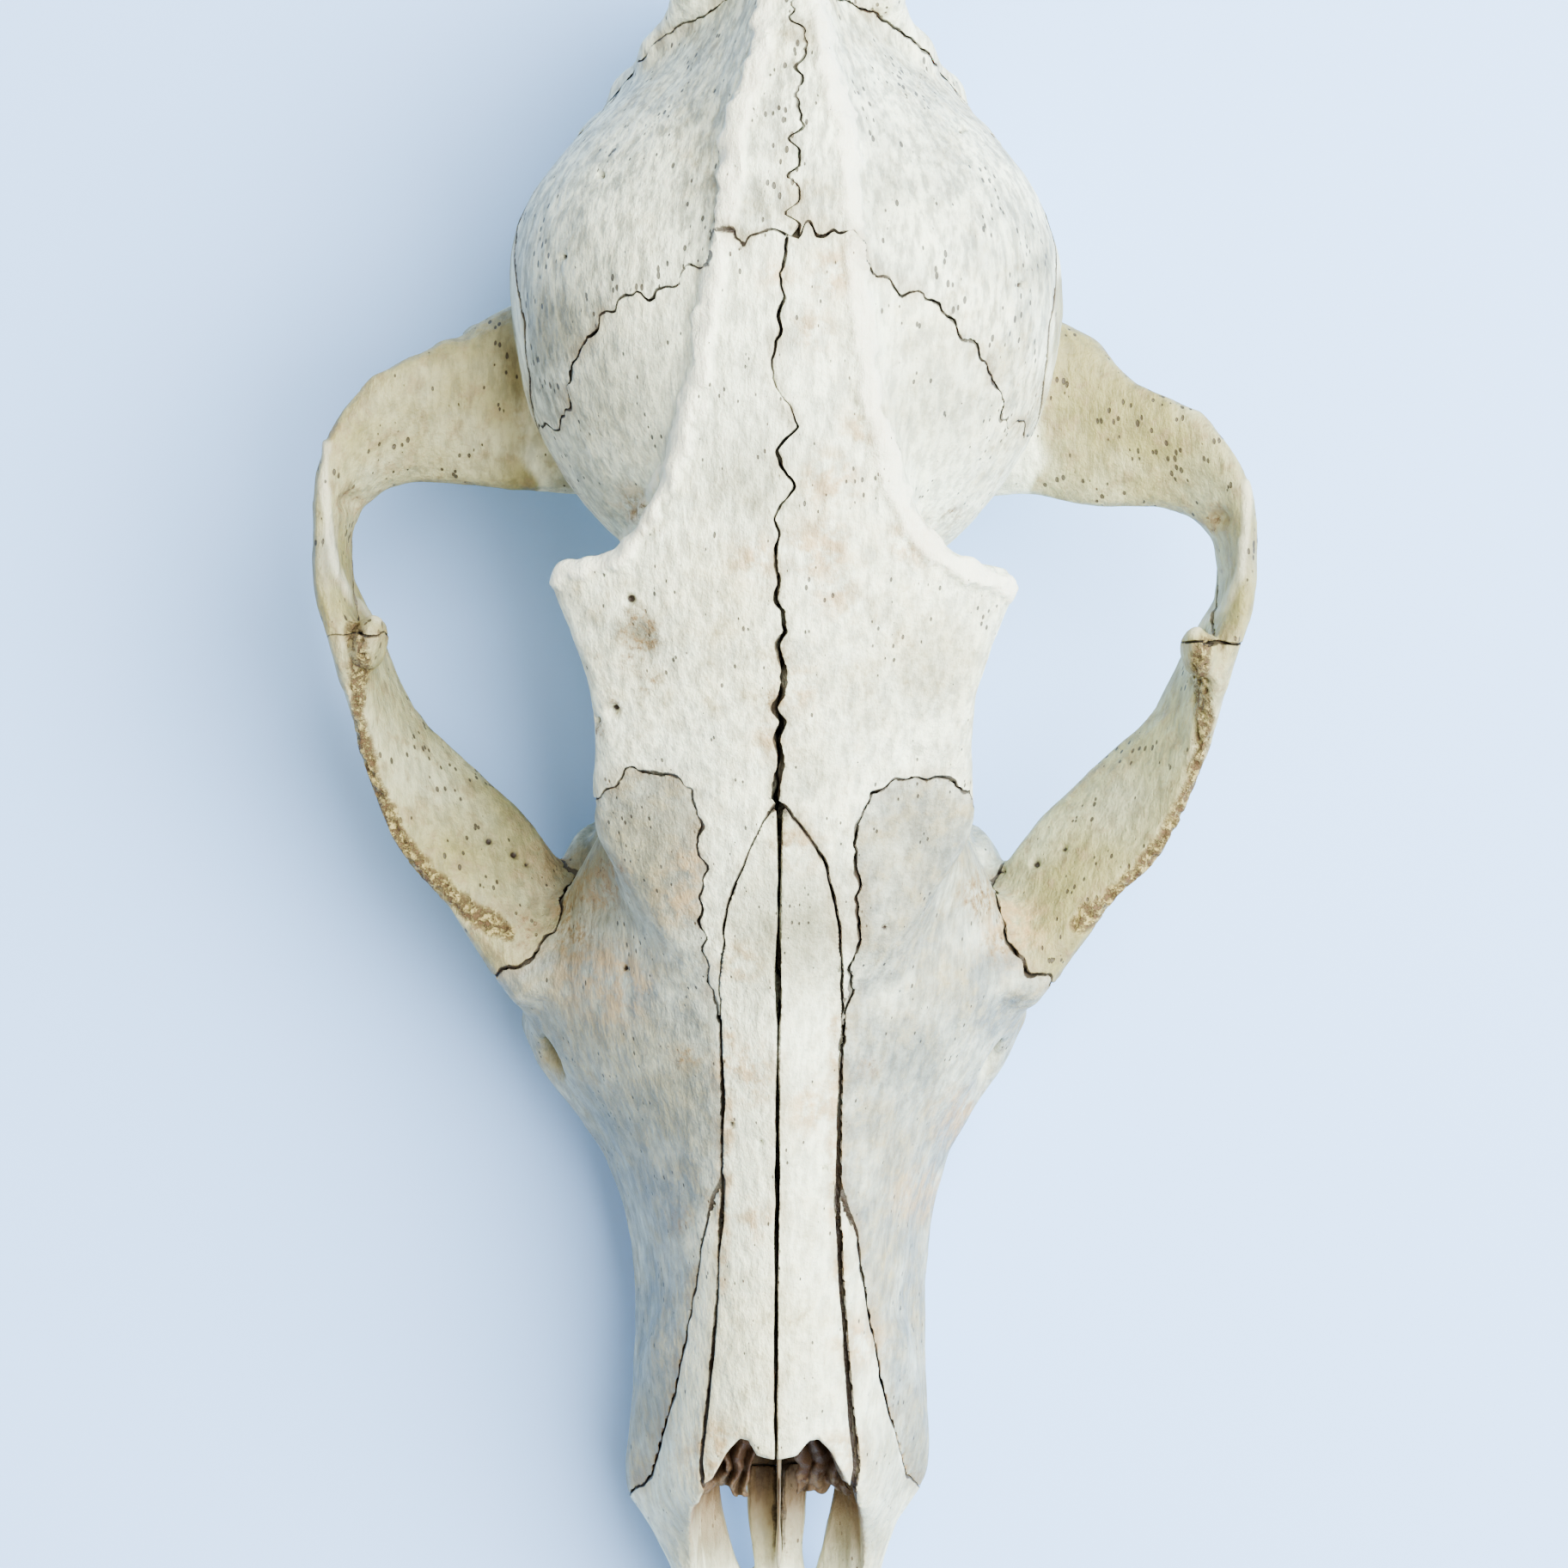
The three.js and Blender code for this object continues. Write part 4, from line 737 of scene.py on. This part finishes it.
def hole_distance(name, seen, points, upwards):
    hole = np.where(upwards > HOLE_FACING, nearest_spot(seen, HOLES), FAR_PIXELS) / PIXELS_PER_MM
    if name in ("premaxilla_right", "maxilla_right"):
        edge = np.interp(seen[:, 1], *zip(*RIGHT_GAP_EDGE)) - GAP_EDGE_LEFT
        # Painted shade: the ledge in the open gap counts as inside a hole, so it is painted dark.
        hole = np.where((seen[:, 0] < edge) & (points[:, 2] > NOSE_AXIS_Z), IN_GAP, hole)
    return hole


# %% [markdown]
# ## Relief, and what the finish needs to know
# Ridges rise by 0.4 mm, holes and hollows go in, the band along the cheek bone is eaten into pores,
# and all but the teeth has the slight unevenness of real bone. Where the left arch leaves the
# braincase, its edge curves in by up to 1.8 mm. What the material needs is kept on the vertices as
# named numbers. Distances blend well between vertices, so a line can be finer than the mesh.

# %% Relief
CARVE_SPOT = (546, 358)
CARVE_RADIUS = 64
CARVE_DOWN = 1.8
FACING_UP = (0.0, 0.35)
RIDGE_HEIGHT = 0.42
RIDGE_HEIGHT_WAVES = ((0.6, 1.3, 3.0),)
HOLE_DEPTH = 0.45
HOLE_EDGE = (0.25, -0.15)
BAND_DEPTH = 0.4
PORE_SIZE = 0.6
PORE_SHIFT = 8.0
PORE_EDGE = (-0.1, 0.5)
UNEVEN_WAVES = ((0.1, 5.0, 12.0), (0.05, 2.0, 12.0), (0.025, 0.8, 12.0))


def relief_of(seen, points, upwards, ridge, hole, band, tooth):
    """How far each vertex moves out of the surface, in mm."""
    relief = ridge * RIDGE_HEIGHT * ragged(1, points, RIDGE_HEIGHT_WAVES)
    relief -= HOLE_DEPTH * ramp(hole, *HOLE_EDGE) * (hole > IN_GAP)
    for across, down, radius, depth in HOLLOWS:
        relief -= depth * ramp(far_from(seen, across, down), radius, 0) * upwards
    relief -= band * BAND_DEPTH * ramp(noise(points, PORE_SIZE, PORE_SHIFT), *PORE_EDGE)
    for height, length, shift in UNEVEN_WAVES:
        relief += height * noise(points, length, shift) * (1 - tooth)
    return relief


# %% Attributes
WRINKLES = {"parietal": 1.0, "frontal": 0.55, "maxilla": 0.45, "nasal": 0.25, "occipital": 0.8}
PLAIN_WRINKLE = 0.3
ATTRIBUTES = (
    "suture", "ridge", "hole", "band", "stain", "nose", "tooth", "tone", "wrinkle", "shade", "warmth",
)


def write_attributes(thing, values):
    count = len(thing.data.vertices)
    for attribute in ATTRIBUTES:
        layer = thing.data.attributes.new(attribute, "FLOAT", "POINT")
        layer.data.foreach_set("value", np.asarray(np.zeros(count) + values[attribute], np.float32))


def finish_surface(name):
    bone = bones[name]
    kind = kind_of(name)
    points = places(bone)
    outwards = normals(bone)
    seen = seen_at(points)
    if kind == "temporal":
        points[:, 1] -= CARVE_DOWN * ramp(far_from(seen, *CARVE_SPOT), CARVE_RADIUS, 0)
    upwards = ramp(outwards[:, 2], *FACING_UP)
    ridge = ridge_share(kind, seen, points, upwards)
    band = band_share(kind, seen, points, outwards)
    hole = hole_distance(name, seen, points, upwards)
    tooth = ramp(points[:, 2], *TOOTH_LINE) * (kind in ("maxilla", "premaxilla"))
    values = {
        "suture": edge_distance[name], "ridge": ridge, "hole": hole, "band": band, "tooth": tooth,
        "stain": ramp(nearest_spot(seen, STAINS), *STAIN_EDGE) * upwards,
        "nose": nose_share(name, points, outwards),
        "tone": tone_of(kind, seen, points),
        "wrinkle": WRINKLES.get(kind, PLAIN_WRINKLE) * (1 - ridge),
        "shade": grey_and_shade_share(seen, upwards),
        "warmth": warmth_share(seen, points, upwards),
    }
    relief = relief_of(seen, points, upwards, ridge, hole, band, tooth)
    points = points + outwards * relief[:, None]
    points[:, 2] = np.maximum(points[:, 2], 0)
    set_places(bone, points)
    values["nose"] *= ramp(points[:, 1], *NOSE_FADE)
    write_attributes(bone, values)


for name in names:
    finish_surface(name)
print("attributes on each bone:", len(ATTRIBUTES))

# %% [markdown]
# ## Sums between sockets
# A material is a web of nodes, and long sums are easier to read as sums. This class wraps a socket
# and turns an expression on values into Math nodes. Any other node comes from its node method.

# %% A class for shader sums
MIX_FACTOR, MIX_COLOUR_A, MIX_COLOUR_B, MIX_COLOUR_RESULT = 0, 6, 7, 2
NOISE_MIDDLE = 0.5


class Signal:
    def __init__(self, tree, socket=None):
        self.tree = tree
        self.socket = socket

    def node(self, kind, output=0, settings=None, inputs=None, **named):
        made = self.tree.nodes.new(kind)
        for setting, value in (settings or {}).items():
            setattr(made, setting, value)
        for place, value in ((inputs or {}) | named).items():
            if isinstance(value, Signal):
                self.tree.links.new(value.socket, made.inputs[place])
            else:
                made.inputs[place].default_value = value
        return Signal(self.tree, made.outputs[output])

    def math(self, operation, *values):
        return self.node("ShaderNodeMath", 0, {"operation": operation}, dict(enumerate(values)))

    def __add__(self, other):
        return self.math("ADD", self, other)

    def __radd__(self, other):
        return self.math("ADD", other, self)

    def __sub__(self, other):
        return self.math("SUBTRACT", self, other)

    def __rsub__(self, other):
        return self.math("SUBTRACT", other, self)

    def __mul__(self, other):
        return self.math("MULTIPLY", self, other)

    def __rmul__(self, other):
        return self.math("MULTIPLY", other, self)

    def ramp(self, start, end):
        """0 at start, 1 at end, like the function of that name on tables."""
        soft = {"interpolation_type": "SMOOTHSTEP"}
        values = {0: self, 1: min(start, end), 2: max(start, end)}
        rising = self.node("ShaderNodeMapRange", 0, soft, values)
        return rising if start < end else 1 - rising

    def clipped(self):
        return self.node("ShaderNodeMath", 0, {"operation": "ADD", "use_clamp": True}, {0: self, 1: 0.0})

    def swing(self, strength):
        """Noise lies around a half. This lies around 0, times a strength."""
        return (self - NOISE_MIDDLE) * strength

    def brighter(self, factor):
        """This colour with its brightness multiplied by a factor."""
        return self.node("ShaderNodeVectorMath", 0, {"operation": "SCALE"}, {0: self, "Scale": factor})

    def colour(self, under, over):
        """The colour over laid on the colour under, where this signal is 1."""
        values = {MIX_FACTOR: self, MIX_COLOUR_A: under, MIX_COLOUR_B: over}
        settings = {"data_type": "RGBA", "clamp_factor": True}
        return self.node("ShaderNodeMix", MIX_COLOUR_RESULT, settings, values)


# %% [markdown]
# ## Patterns from clouds to grain
# Noise of nine lengths does most of the work, from clouds over a centimetre wide to fine grain. The
# fibre is drawn out along the skull, as bone's own grain is. All of it reads the object's
# coordinates, which are metres, so a length in mm is turned into a scale.

# %% Patterns
NOISES = {
    "clouds": {"length": 13},
    "patches": {"length": 4.5, "detail": 5, "rough": 0.6, "shift": 0.31},
    "pitted": {"length": 3.2, "detail": 3, "shift": 0.53},
    "mottle": {"length": 1.7, "rough": 0.65, "shift": 0.11},
    "winding": {"length": 1.0, "detail": 2, "rough": 0.5, "shift": 0.4, "twist": 0.8},
    "speckle": {"length": 0.8, "detail": 5, "rough": 0.75, "shift": 0.83},
    "fibre": {"length": 0.75, "rough": 0.65, "shift": 0.17, "stretch": (1, 0.3, 1)},
    "grit": {"length": 0.6, "rough": 0.75, "shift": 0.9},
    "fine": {"length": 0.35, "detail": 2, "rough": 0.6, "shift": 0.7},
}


def texture(spot, length, detail=4, rough=0.55, stretch=(1, 1, 1), shift=0.0, twist=0.0):
    moved = spot.node("ShaderNodeMapping", Vector=spot, Scale=stretch, Location=(shift,) * 3)
    return spot.node("ShaderNodeTexNoise", Vector=moved, Scale=1 / (length * MM), Detail=detail,
                     Roughness=rough, Distortion=twist)


# %% [markdown]
# ## Small marks that both colour and dent the bone
# Winding traces come from noise folded at its middle value. Pits are the middles of small cells, and
# they grow where the bone is wrinkled or belongs to an arch. The worn band is full of pores, and a
# suture is a dark line, which on the walls of an open gap is painted shade. Colour and depth both
# need these, so they are made once.

# %% Small marks
WORM_SHARPNESS = 9
PIT_LENGTH = 0.6
PIT_STRETCH = (1, 0.5, 1)
PIT_GROWTH = 0.28
PIT_EDGE = (0.03, -0.04)
LINE_EDGE = (0.17, 0.05)
LINE_WAVER = 0.1


def small_marks(spot, pattern, mark):
    winding = (pattern.winding - NOISE_MIDDLE).math("ABSOLUTE") * WORM_SHARPNESS
    moved = spot.node("ShaderNodeMapping", Vector=spot, Scale=PIT_STRETCH)
    from_pit = spot.node("ShaderNodeTexVoronoi", "Distance", Vector=moved, Scale=1 / (PIT_LENGTH * MM))
    grown = 0.35 + mark.wrinkle * 0.6 + mark.tone.ramp(0.5, 0.9) * 0.5
    pits = from_pit - pattern.pitted.ramp(0.45, 0.62) * grown * PIT_GROWTH
    return SimpleNamespace(
        worms=(1 - winding).clipped() * mark.wrinkle,
        specks=pits.ramp(*PIT_EDGE),
        pores=mark.band * pattern.grit.ramp(0.43, 0.6),
        line=(mark.suture + pattern.fine.swing(LINE_WAVER)).ramp(*LINE_EDGE),
    )


# %% [markdown]
# ## The ground colours of old bone
# Clean bone is ivory, but never one ivory. Thick bone looks creamy, thin bone over a hollow looks cool
# and grey, and the arches are a greasy tan. Blender's view transform softens contrasts, so the cool
# and tan colours are darker here than they look. Each line lays one colour on: a pattern's ramp says
# where it shows, and the plain numbers are strengths.

# %% Ground colours
IVORY = (0.86, 0.92, 0.69, 1)
# Dark cool grey: partly thin bone's own colour, partly painted shade on the sides of the snout.
COOL_GREY_AND_SHADE = (0.215, 0.245, 0.215, 1)
STRAW = (0.42, 0.37, 0.19, 1)
CREAM = (0.62, 0.55, 0.27, 1)
ARCH = (0.26, 0.235, 0.085, 1)
TAN = (0.23, 0.17, 0.08, 1)
ARCH_COLOUR_TONES = (0.3, 0.8)
CREAM_CLOUDS_FROM = 0.46


def ground_colour(pattern, mark, warm):
    clouds, mottle, tone = pattern.clouds, pattern.mottle, mark.tone
    # Cool grey and painted shade where the tone is low, most on the maxilla.
    cool_and_shade = (tone * -0.75 + pattern.patches.swing(2.0) + 0.08).clipped()
    colour = cool_and_shade.colour(IVORY, COOL_GREY_AND_SHADE)
    straw = cool_and_shade * (clouds.ramp(0.4, 0.62) * 0.4 + mottle.ramp(0.46, 0.62) * 0.35)
    colour = straw.colour(colour, STRAW)
    cream = tone * 0.25 + (clouds - CREAM_CLOUDS_FROM) * 1.6 + mottle.swing(1.0) + warm
    colour = cream.clipped().colour(colour, CREAM)
    on_arch = tone.ramp(*ARCH_COLOUR_TONES)
    colour = (on_arch * (0.92 + clouds.swing(1.2))).clipped().colour(colour, ARCH)
    return (on_arch * mottle.ramp(0.5, 0.66) * 0.5).colour(colour, TAN)


# %% [markdown]
# ## Wear, painted shade and dirt
# Over the ground lie rust-brown clouds, an olive grey that is partly thin bone's own and partly painted
# shade, and the fibre, and ridges are polished pale. Then comes the dirt: faint streaks, dark pits,
# speckled stains, and the brown grit of the worn band.

# %% Wear and dirt
RUST = (0.52, 0.34, 0.14, 1)
OLIVE_GREY_AND_SHADE = (0.24, 0.24, 0.15, 1)
PALE = (0.88, 0.88, 0.68, 1)
GRIT = (0.33, 0.26, 0.085, 1)
BROWN = (0.09, 0.05, 0.02, 1)
DARK = (0.02, 0.012, 0.006, 1)


def worn_colour(colour, pattern, mark, small):
    mottle = pattern.mottle
    colour = (mark.warmth * mottle.ramp(0.36, 0.6) * 0.75).colour(colour, RUST)
    # Painted shade: olive grey on slopes and hollows that turn from the light, with thin bone's grey.
    colour = (mark.shade * (0.5 + pattern.patches)).clipped().colour(colour, OLIVE_GREY_AND_SHADE)
    fibre = pattern.fibre.ramp(0.62, 0.36) * (0.22 + mark.wrinkle * 0.33)
    colour = colour.brighter(1 - fibre + small.worms * 0.2)
    return (mark.ridge * (0.4 + mottle * 0.5)).clipped().colour(colour, PALE)


def dirty_colour(colour, pattern, mark, small):
    mottle, speckle = pattern.mottle, pattern.speckle
    colour = (mottle.ramp(0.56, 0.7) * pattern.clouds.ramp(0.45, 0.62) * 0.4).colour(colour, TAN)
    colour = (small.specks * 0.85).colour(colour, DARK)
    blot = mark.stain * (mottle.ramp(0.36, 0.6) + 0.3) * (speckle.ramp(0.4, 0.62) + 0.15)
    colour = blot.clipped().colour(colour, TAN)
    colour = (mark.stain * speckle.ramp(0.56, 0.68)).clipped().colour(colour, BROWN)
    colour = (mark.band * 0.85).colour(colour, GRIT)
    return (small.pores * 0.95).clipped().colour(colour, BROWN)


# %% [markdown]
# ## The nose, the sutures and the teeth
# The thin walls inside the nose are brown, and where they lie deep they are painted nearly black as
# shade. A tan halo of dirt follows each suture, with the dark line in its middle, which on the walls
# of an open gap is painted shade. Holes are painted as dark as the line, as shade. Enamel covers all
# of that on the teeth.

# %% Nose, sutures and teeth
NOSE_TAN = (0.27, 0.19, 0.10, 1)
NOSE_DEEP_SHADE = (0.05, 0.025, 0.01, 1)
ENAMEL = (0.83, 0.80, 0.70, 1)
NOSE_DEEP_SHADE_FROM = 0.45
HALO_EDGE = (1.2, 0.0)
HALO_WAVER = 0.7
HOLE_RIM = (0.06, -0.1)
HOLE_WAVER = 0.12


def nose_colour(colour, pattern, mark, dark):
    depth = mark.nose * (0.6 + pattern.fibre * 0.8) + dark * (0.5 + pattern.fibre)
    colour = (depth * 1.6).clipped().colour(colour, NOSE_TAN)
    # Painted shade: deep in the nose the brown is painted nearly black.
    return ((depth - NOSE_DEEP_SHADE_FROM) * 2.2).clipped().colour(colour, NOSE_DEEP_SHADE)


def edge_colour(colour, pattern, mark, small):
    patches, mottle = pattern.patches, pattern.mottle
    halo = (mark.suture + mottle.swing(HALO_WAVER)).ramp(*HALO_EDGE) * patches.ramp(0.4, 0.6)
    colour = (halo * 0.5).colour(colour, TAN)
    # Dark suture lines; on the walls of an open gap this dark is painted shade.
    colour = (small.line * (0.6 + patches * 0.6)).clipped().colour(colour, DARK)
    # Painted shade: holes, and the ledge in the open gap, are painted dark.
    colour = (mark.hole + pattern.fine.swing(HOLE_WAVER)).ramp(*HOLE_RIM).colour(colour, DARK)
    return (mark.tooth * (0.65 + 0.35 * mottle)).colour(colour, ENAMEL)


# %% [markdown]
# ## The materials
# Three materials share this recipe. The arches are warmer, and the thin bone inside the nose is
# darker, partly brown and partly painted shade. The pores and lines that darken the bone also dent
# it, through a bump whose numbers are heights in mm. Some light goes into bone and comes out beside,
# which Subsurface gives.

# %% Materials
ENAMEL_SMOOTHING = 0.85
ROUGHNESS = 0.56
FIXED_INPUTS = {"Subsurface Weight": 0.05, "Subsurface Scale": 0.6 * MM, "Specular IOR Level": 0.35}


def dent_height(pattern, mark, small):
    height = pattern.mottle.swing(0.26) + pattern.fibre.swing(0.24) + pattern.fine.swing(0.06)
    height = height + small.worms * 0.3 - small.specks * 0.14 - small.pores * 0.3 - small.line * 0.1
    return height * (1 - mark.tooth * ENAMEL_SMOOTHING)


def bone_material(name, warm=0.0, dark=0.0):
    material = bpy.data.materials.new(name)
    material.use_nodes = True
    tree = material.node_tree
    shader = tree.nodes["Principled BSDF"]
    spot = Signal(tree).node("ShaderNodeTexCoord", "Object")
    pattern = SimpleNamespace(**{kind: texture(spot, **how) for kind, how in NOISES.items()})
    mark = SimpleNamespace(**{
        attribute: spot.node("ShaderNodeAttribute", "Fac", {"attribute_name": attribute})
        for attribute in ATTRIBUTES
    })
    small = small_marks(spot, pattern, mark)
    colour = ground_colour(pattern, mark, warm)
    colour = worn_colour(colour, pattern, mark, small)
    colour = dirty_colour(colour, pattern, mark, small)
    colour = nose_colour(colour, pattern, mark, dark)
    colour = edge_colour(colour, pattern, mark, small)
    roughness = ROUGHNESS + pattern.mottle.swing(0.2) + small.pores * 0.3 - mark.tooth * 0.3
    height = dent_height(pattern, mark, small)
    bump = spot.node("ShaderNodeBump", Height=height, Distance=MM, Strength=1.0)
    for socket, value in (("Base Color", colour), ("Roughness", roughness), ("Normal", bump)):
        tree.links.new(value.socket, shader.inputs[socket])
    for socket, value in FIXED_INPUTS.items():
        shader.inputs[socket].default_value = value
    return material


materials = {
    "bone": bone_material("old_bone"),
    "arch_bone": bone_material("arch_bone", warm=0.05),
    "inner_bone": bone_material("thin_inner_bone", dark=0.25),
}
print("materials:", len(materials))

# %% [markdown]
# ## Each bone takes the place of its solid
# The finished bones stand for the solids one by one, and all ride on the skull's one body.

# %% Bones in place
CREASE_DEGREES = 48
SLOTS = {"temporal": "arch_bone", "zygomatic": "arch_bone", "vomer": "inner_bone"}
for name, bone in bones.items():
    slot = SLOTS.get(kind_of(name), "bone")
    bone.data.materials.append(materials[slot])
    select_only(bone)
    bpy.ops.object.shade_smooth_by_angle(angle=np.radians(CREASE_DEGREES))
    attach(bone, "root")
    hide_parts(name)
print("bones in place:", len(bones))

# %% [markdown]
# ## Scrolls of thin bone in the nose
# Behind the notches of the nasal bones the picture shows the scrolls: paper-thin plates, folded
# lengthways, brown and broken off in front, and painted darker towards the back as shade. Each side
# is one flat grid, laid as a slope from under the nasal bone down to the front. A sine across it makes
# folds, which noise shifts and swells so that no two are alike, and noise also breaks the edge.
# Solidify then gives the plate its thickness.

# %% The slope of a scroll
SCROLL_Y = (-51.5, -58.7)
SCROLL_Z = (22.3, 17.2)
SLOPE_CURVE = 1.3
SCROLL_SPANS = {"left": ((-5.4, -1.3), (-6.3, -2.6)), "right": ((0.9, 5.2), (1.6, 5.8))}


def between(start, end, share):
    return start + (end - start) * share


def scroll_slope(across, along, back_span, front_span):
    left, right = (between(back, front, along) for back, front in zip(back_span, front_span))
    return np.column_stack([
        between(left, right, across),
        between(*SCROLL_Y, along),
        between(*SCROLL_Z, along ** SLOPE_CURVE),
    ])


# %% Folding a scroll
FOLDS = 3.2
FOLD_HEIGHT = 0.6
FOLD_SHIFT_WAVES = ((3.5, 2.2, 40.0),)
FOLD_SWELL = 0.8
FOLD_SWELL_WAVES = ((1.0, 1.9, 44.0),)
DENT_WAVES = ((0.35, 0.7, 41.0),)
SWAY_WAVES = ((0.5, 1.6, 42.0),)
BROKEN_WAVES = ((0.45, 1.6, 43.0), (0.45, 0.6, 43.0))


def folded(slope, across, along):
    place = slope.copy()
    column = slope * (1, 0, 0)
    fold = np.sin(ragged(2 * np.pi * FOLDS * across, slope, FOLD_SHIFT_WAVES))
    height = FOLD_HEIGHT * fold * ragged(FOLD_SWELL, slope, FOLD_SWELL_WAVES)
    place[:, 2] += ragged(height, slope, DENT_WAVES)
    place[:, 0] = ragged(place[:, 0], place, SWAY_WAVES)
    for reach, length, shift in BROKEN_WAVES:
        place[:, 1] += reach * noise(column, length, shift) * along
    return place


# %% Both scrolls
COLUMNS = 130
ROWS = 70
PLATE_THICKNESS = 0.25
DARK_FROM = (SCROLL_Y[1] - 0.3, SCROLL_Y[0] - 1.0)
# The scroll plates take a little olive grey all over, partly painted shade.
PLATE_MARKS = {"suture": 9.0, "hole": 9.0, "tone": 0.4, "wrinkle": 0.5, "shade": 0.3}

for side, spans in SCROLL_SPANS.items():
    bpy.ops.object.select_all(action="DESELECT")
    bpy.ops.mesh.primitive_grid_add(
        x_subdivisions=COLUMNS, y_subdivisions=ROWS, size=2, location=(0, 0, 0))
    scroll = bpy.context.object
    scroll.name = scroll.data.name = f"scroll_{side}"
    grid = places(scroll) * MM
    across = (grid[:, 0] + 1) / 2
    along = (1 - grid[:, 1]) / 2
    set_places(scroll, folded(scroll_slope(across, along, *spans), across, along))
    apply_modifier(scroll, "SOLIDIFY", thickness=PLATE_THICKNESS * MM, offset=0.0)
    # Painted shade: the scrolls are painted darker the further back into the nose they reach.
    depth = ramp(places(scroll)[:, 1], *DARK_FROM)
    marks = dict.fromkeys(ATTRIBUTES, 0.0) | PLATE_MARKS
    marks["nose"] = 0.5 + 0.5 * depth
    write_attributes(scroll, marks)
    scroll.data.materials.append(materials["inner_bone"])
    select_only(scroll)
    bpy.ops.object.shade_smooth()
    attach(scroll, "root")
    print(scroll.name, "triangles:", 2 * len(scroll.data.polygons))

# %% [markdown]
# ## The board
# The photo's background is a pale, even blue-white. Here it is a flat board, which isn't part of the
# skull.

# %% Board
BOARD_HALF = 0.6
BOARD_BLUE = (0.34, 0.58, 1.0, 1)
BOARD_ROUGHNESS = 0.7

bpy.ops.object.select_all(action="DESELECT")
bpy.ops.mesh.primitive_plane_add(size=2 * BOARD_HALF, location=(0, 0, 0))
board = bpy.context.object
board.name = "board"
paint = bpy.data.materials.new("board_paint")
paint.use_nodes = True
paint_inputs = paint.node_tree.nodes["Principled BSDF"].inputs
paint_inputs["Base Color"].default_value = BOARD_BLUE
paint_inputs["Roughness"].default_value = BOARD_ROUGHNESS
board.data.materials.append(paint)

# %% [markdown]
# ## The light
# In the photo a soft light comes from the right and above, and one area light stands for it. A faint
# one overhead, and a warm even sky, keep the shadows light, and the sky's warmth makes up for the
# blue that the board throws back onto the bone.

# %% Sky and lamps
SKY_COLOUR = (1.0, 0.86, 0.68, 1)
SKY_STRENGTH = 0.55
LAMP_AIM = (0, 0, 0.02)
LAMPS = {
    "window": {"place": (0.42, 0.1, 0.6), "width": 0.85, "power": 46.0, "colour": (0.98, 1.0, 1.0)},
    "ceiling": {"place": (-0.1, 0, 0.9), "width": 0.9, "power": 2.5, "colour": (1.0, 0.93, 0.8)},
}

world = bpy.data.worlds.new("soft_sky")
bpy.context.scene.world = world
world.use_nodes = True
sky_inputs = world.node_tree.nodes["Background"].inputs
sky_inputs["Color"].default_value = SKY_COLOUR
sky_inputs["Strength"].default_value = SKY_STRENGTH


def area_light(name, place, width, power, colour):
    bpy.ops.object.light_add(type="AREA", location=place)
    lamp = bpy.context.object
    lamp.name = name
    lamp.data.size = width
    lamp.data.energy = power
    lamp.data.color = colour
    lamp.rotation_euler = (Vector(LAMP_AIM) - Vector(place)).to_track_quat("-Z", "Y").to_euler()


for name, how in LAMPS.items():
    area_light(name, **how)
print("lamps:", len(LAMPS))

# %% [markdown]
# ## The camera
# The camera hangs straight above the skull, turned by a third of a degree, with the height and the
# focal length that the marks were placed with. The picture's middle isn't quite the skull's, so the
# lens is shifted sideways by a pixel.

# %% Camera
SENSOR = 36.0
NEAREST_SEEN = 0.01

camera_data = bpy.data.cameras.new("camera")
camera = bpy.data.objects.new("camera", camera_data)
bpy.context.collection.objects.link(camera)
camera.location = (0, 0, CAMERA_HEIGHT * MM)
camera.rotation_euler = (0, 0, PICTURE_TURN)
camera_data.sensor_fit = "HORIZONTAL"
camera_data.sensor_width = SENSOR
camera_data.lens = FOCAL_PIXELS / PICTURE_SIZE * SENSOR
camera_data.shift_x = (PICTURE_SIZE / 2 - PICTURE_CENTRE[0]) / PICTURE_SIZE
camera_data.clip_start = NEAREST_SEEN
bpy.context.scene.camera = camera
print("focal length in mm:", round(camera_data.lens, 1))
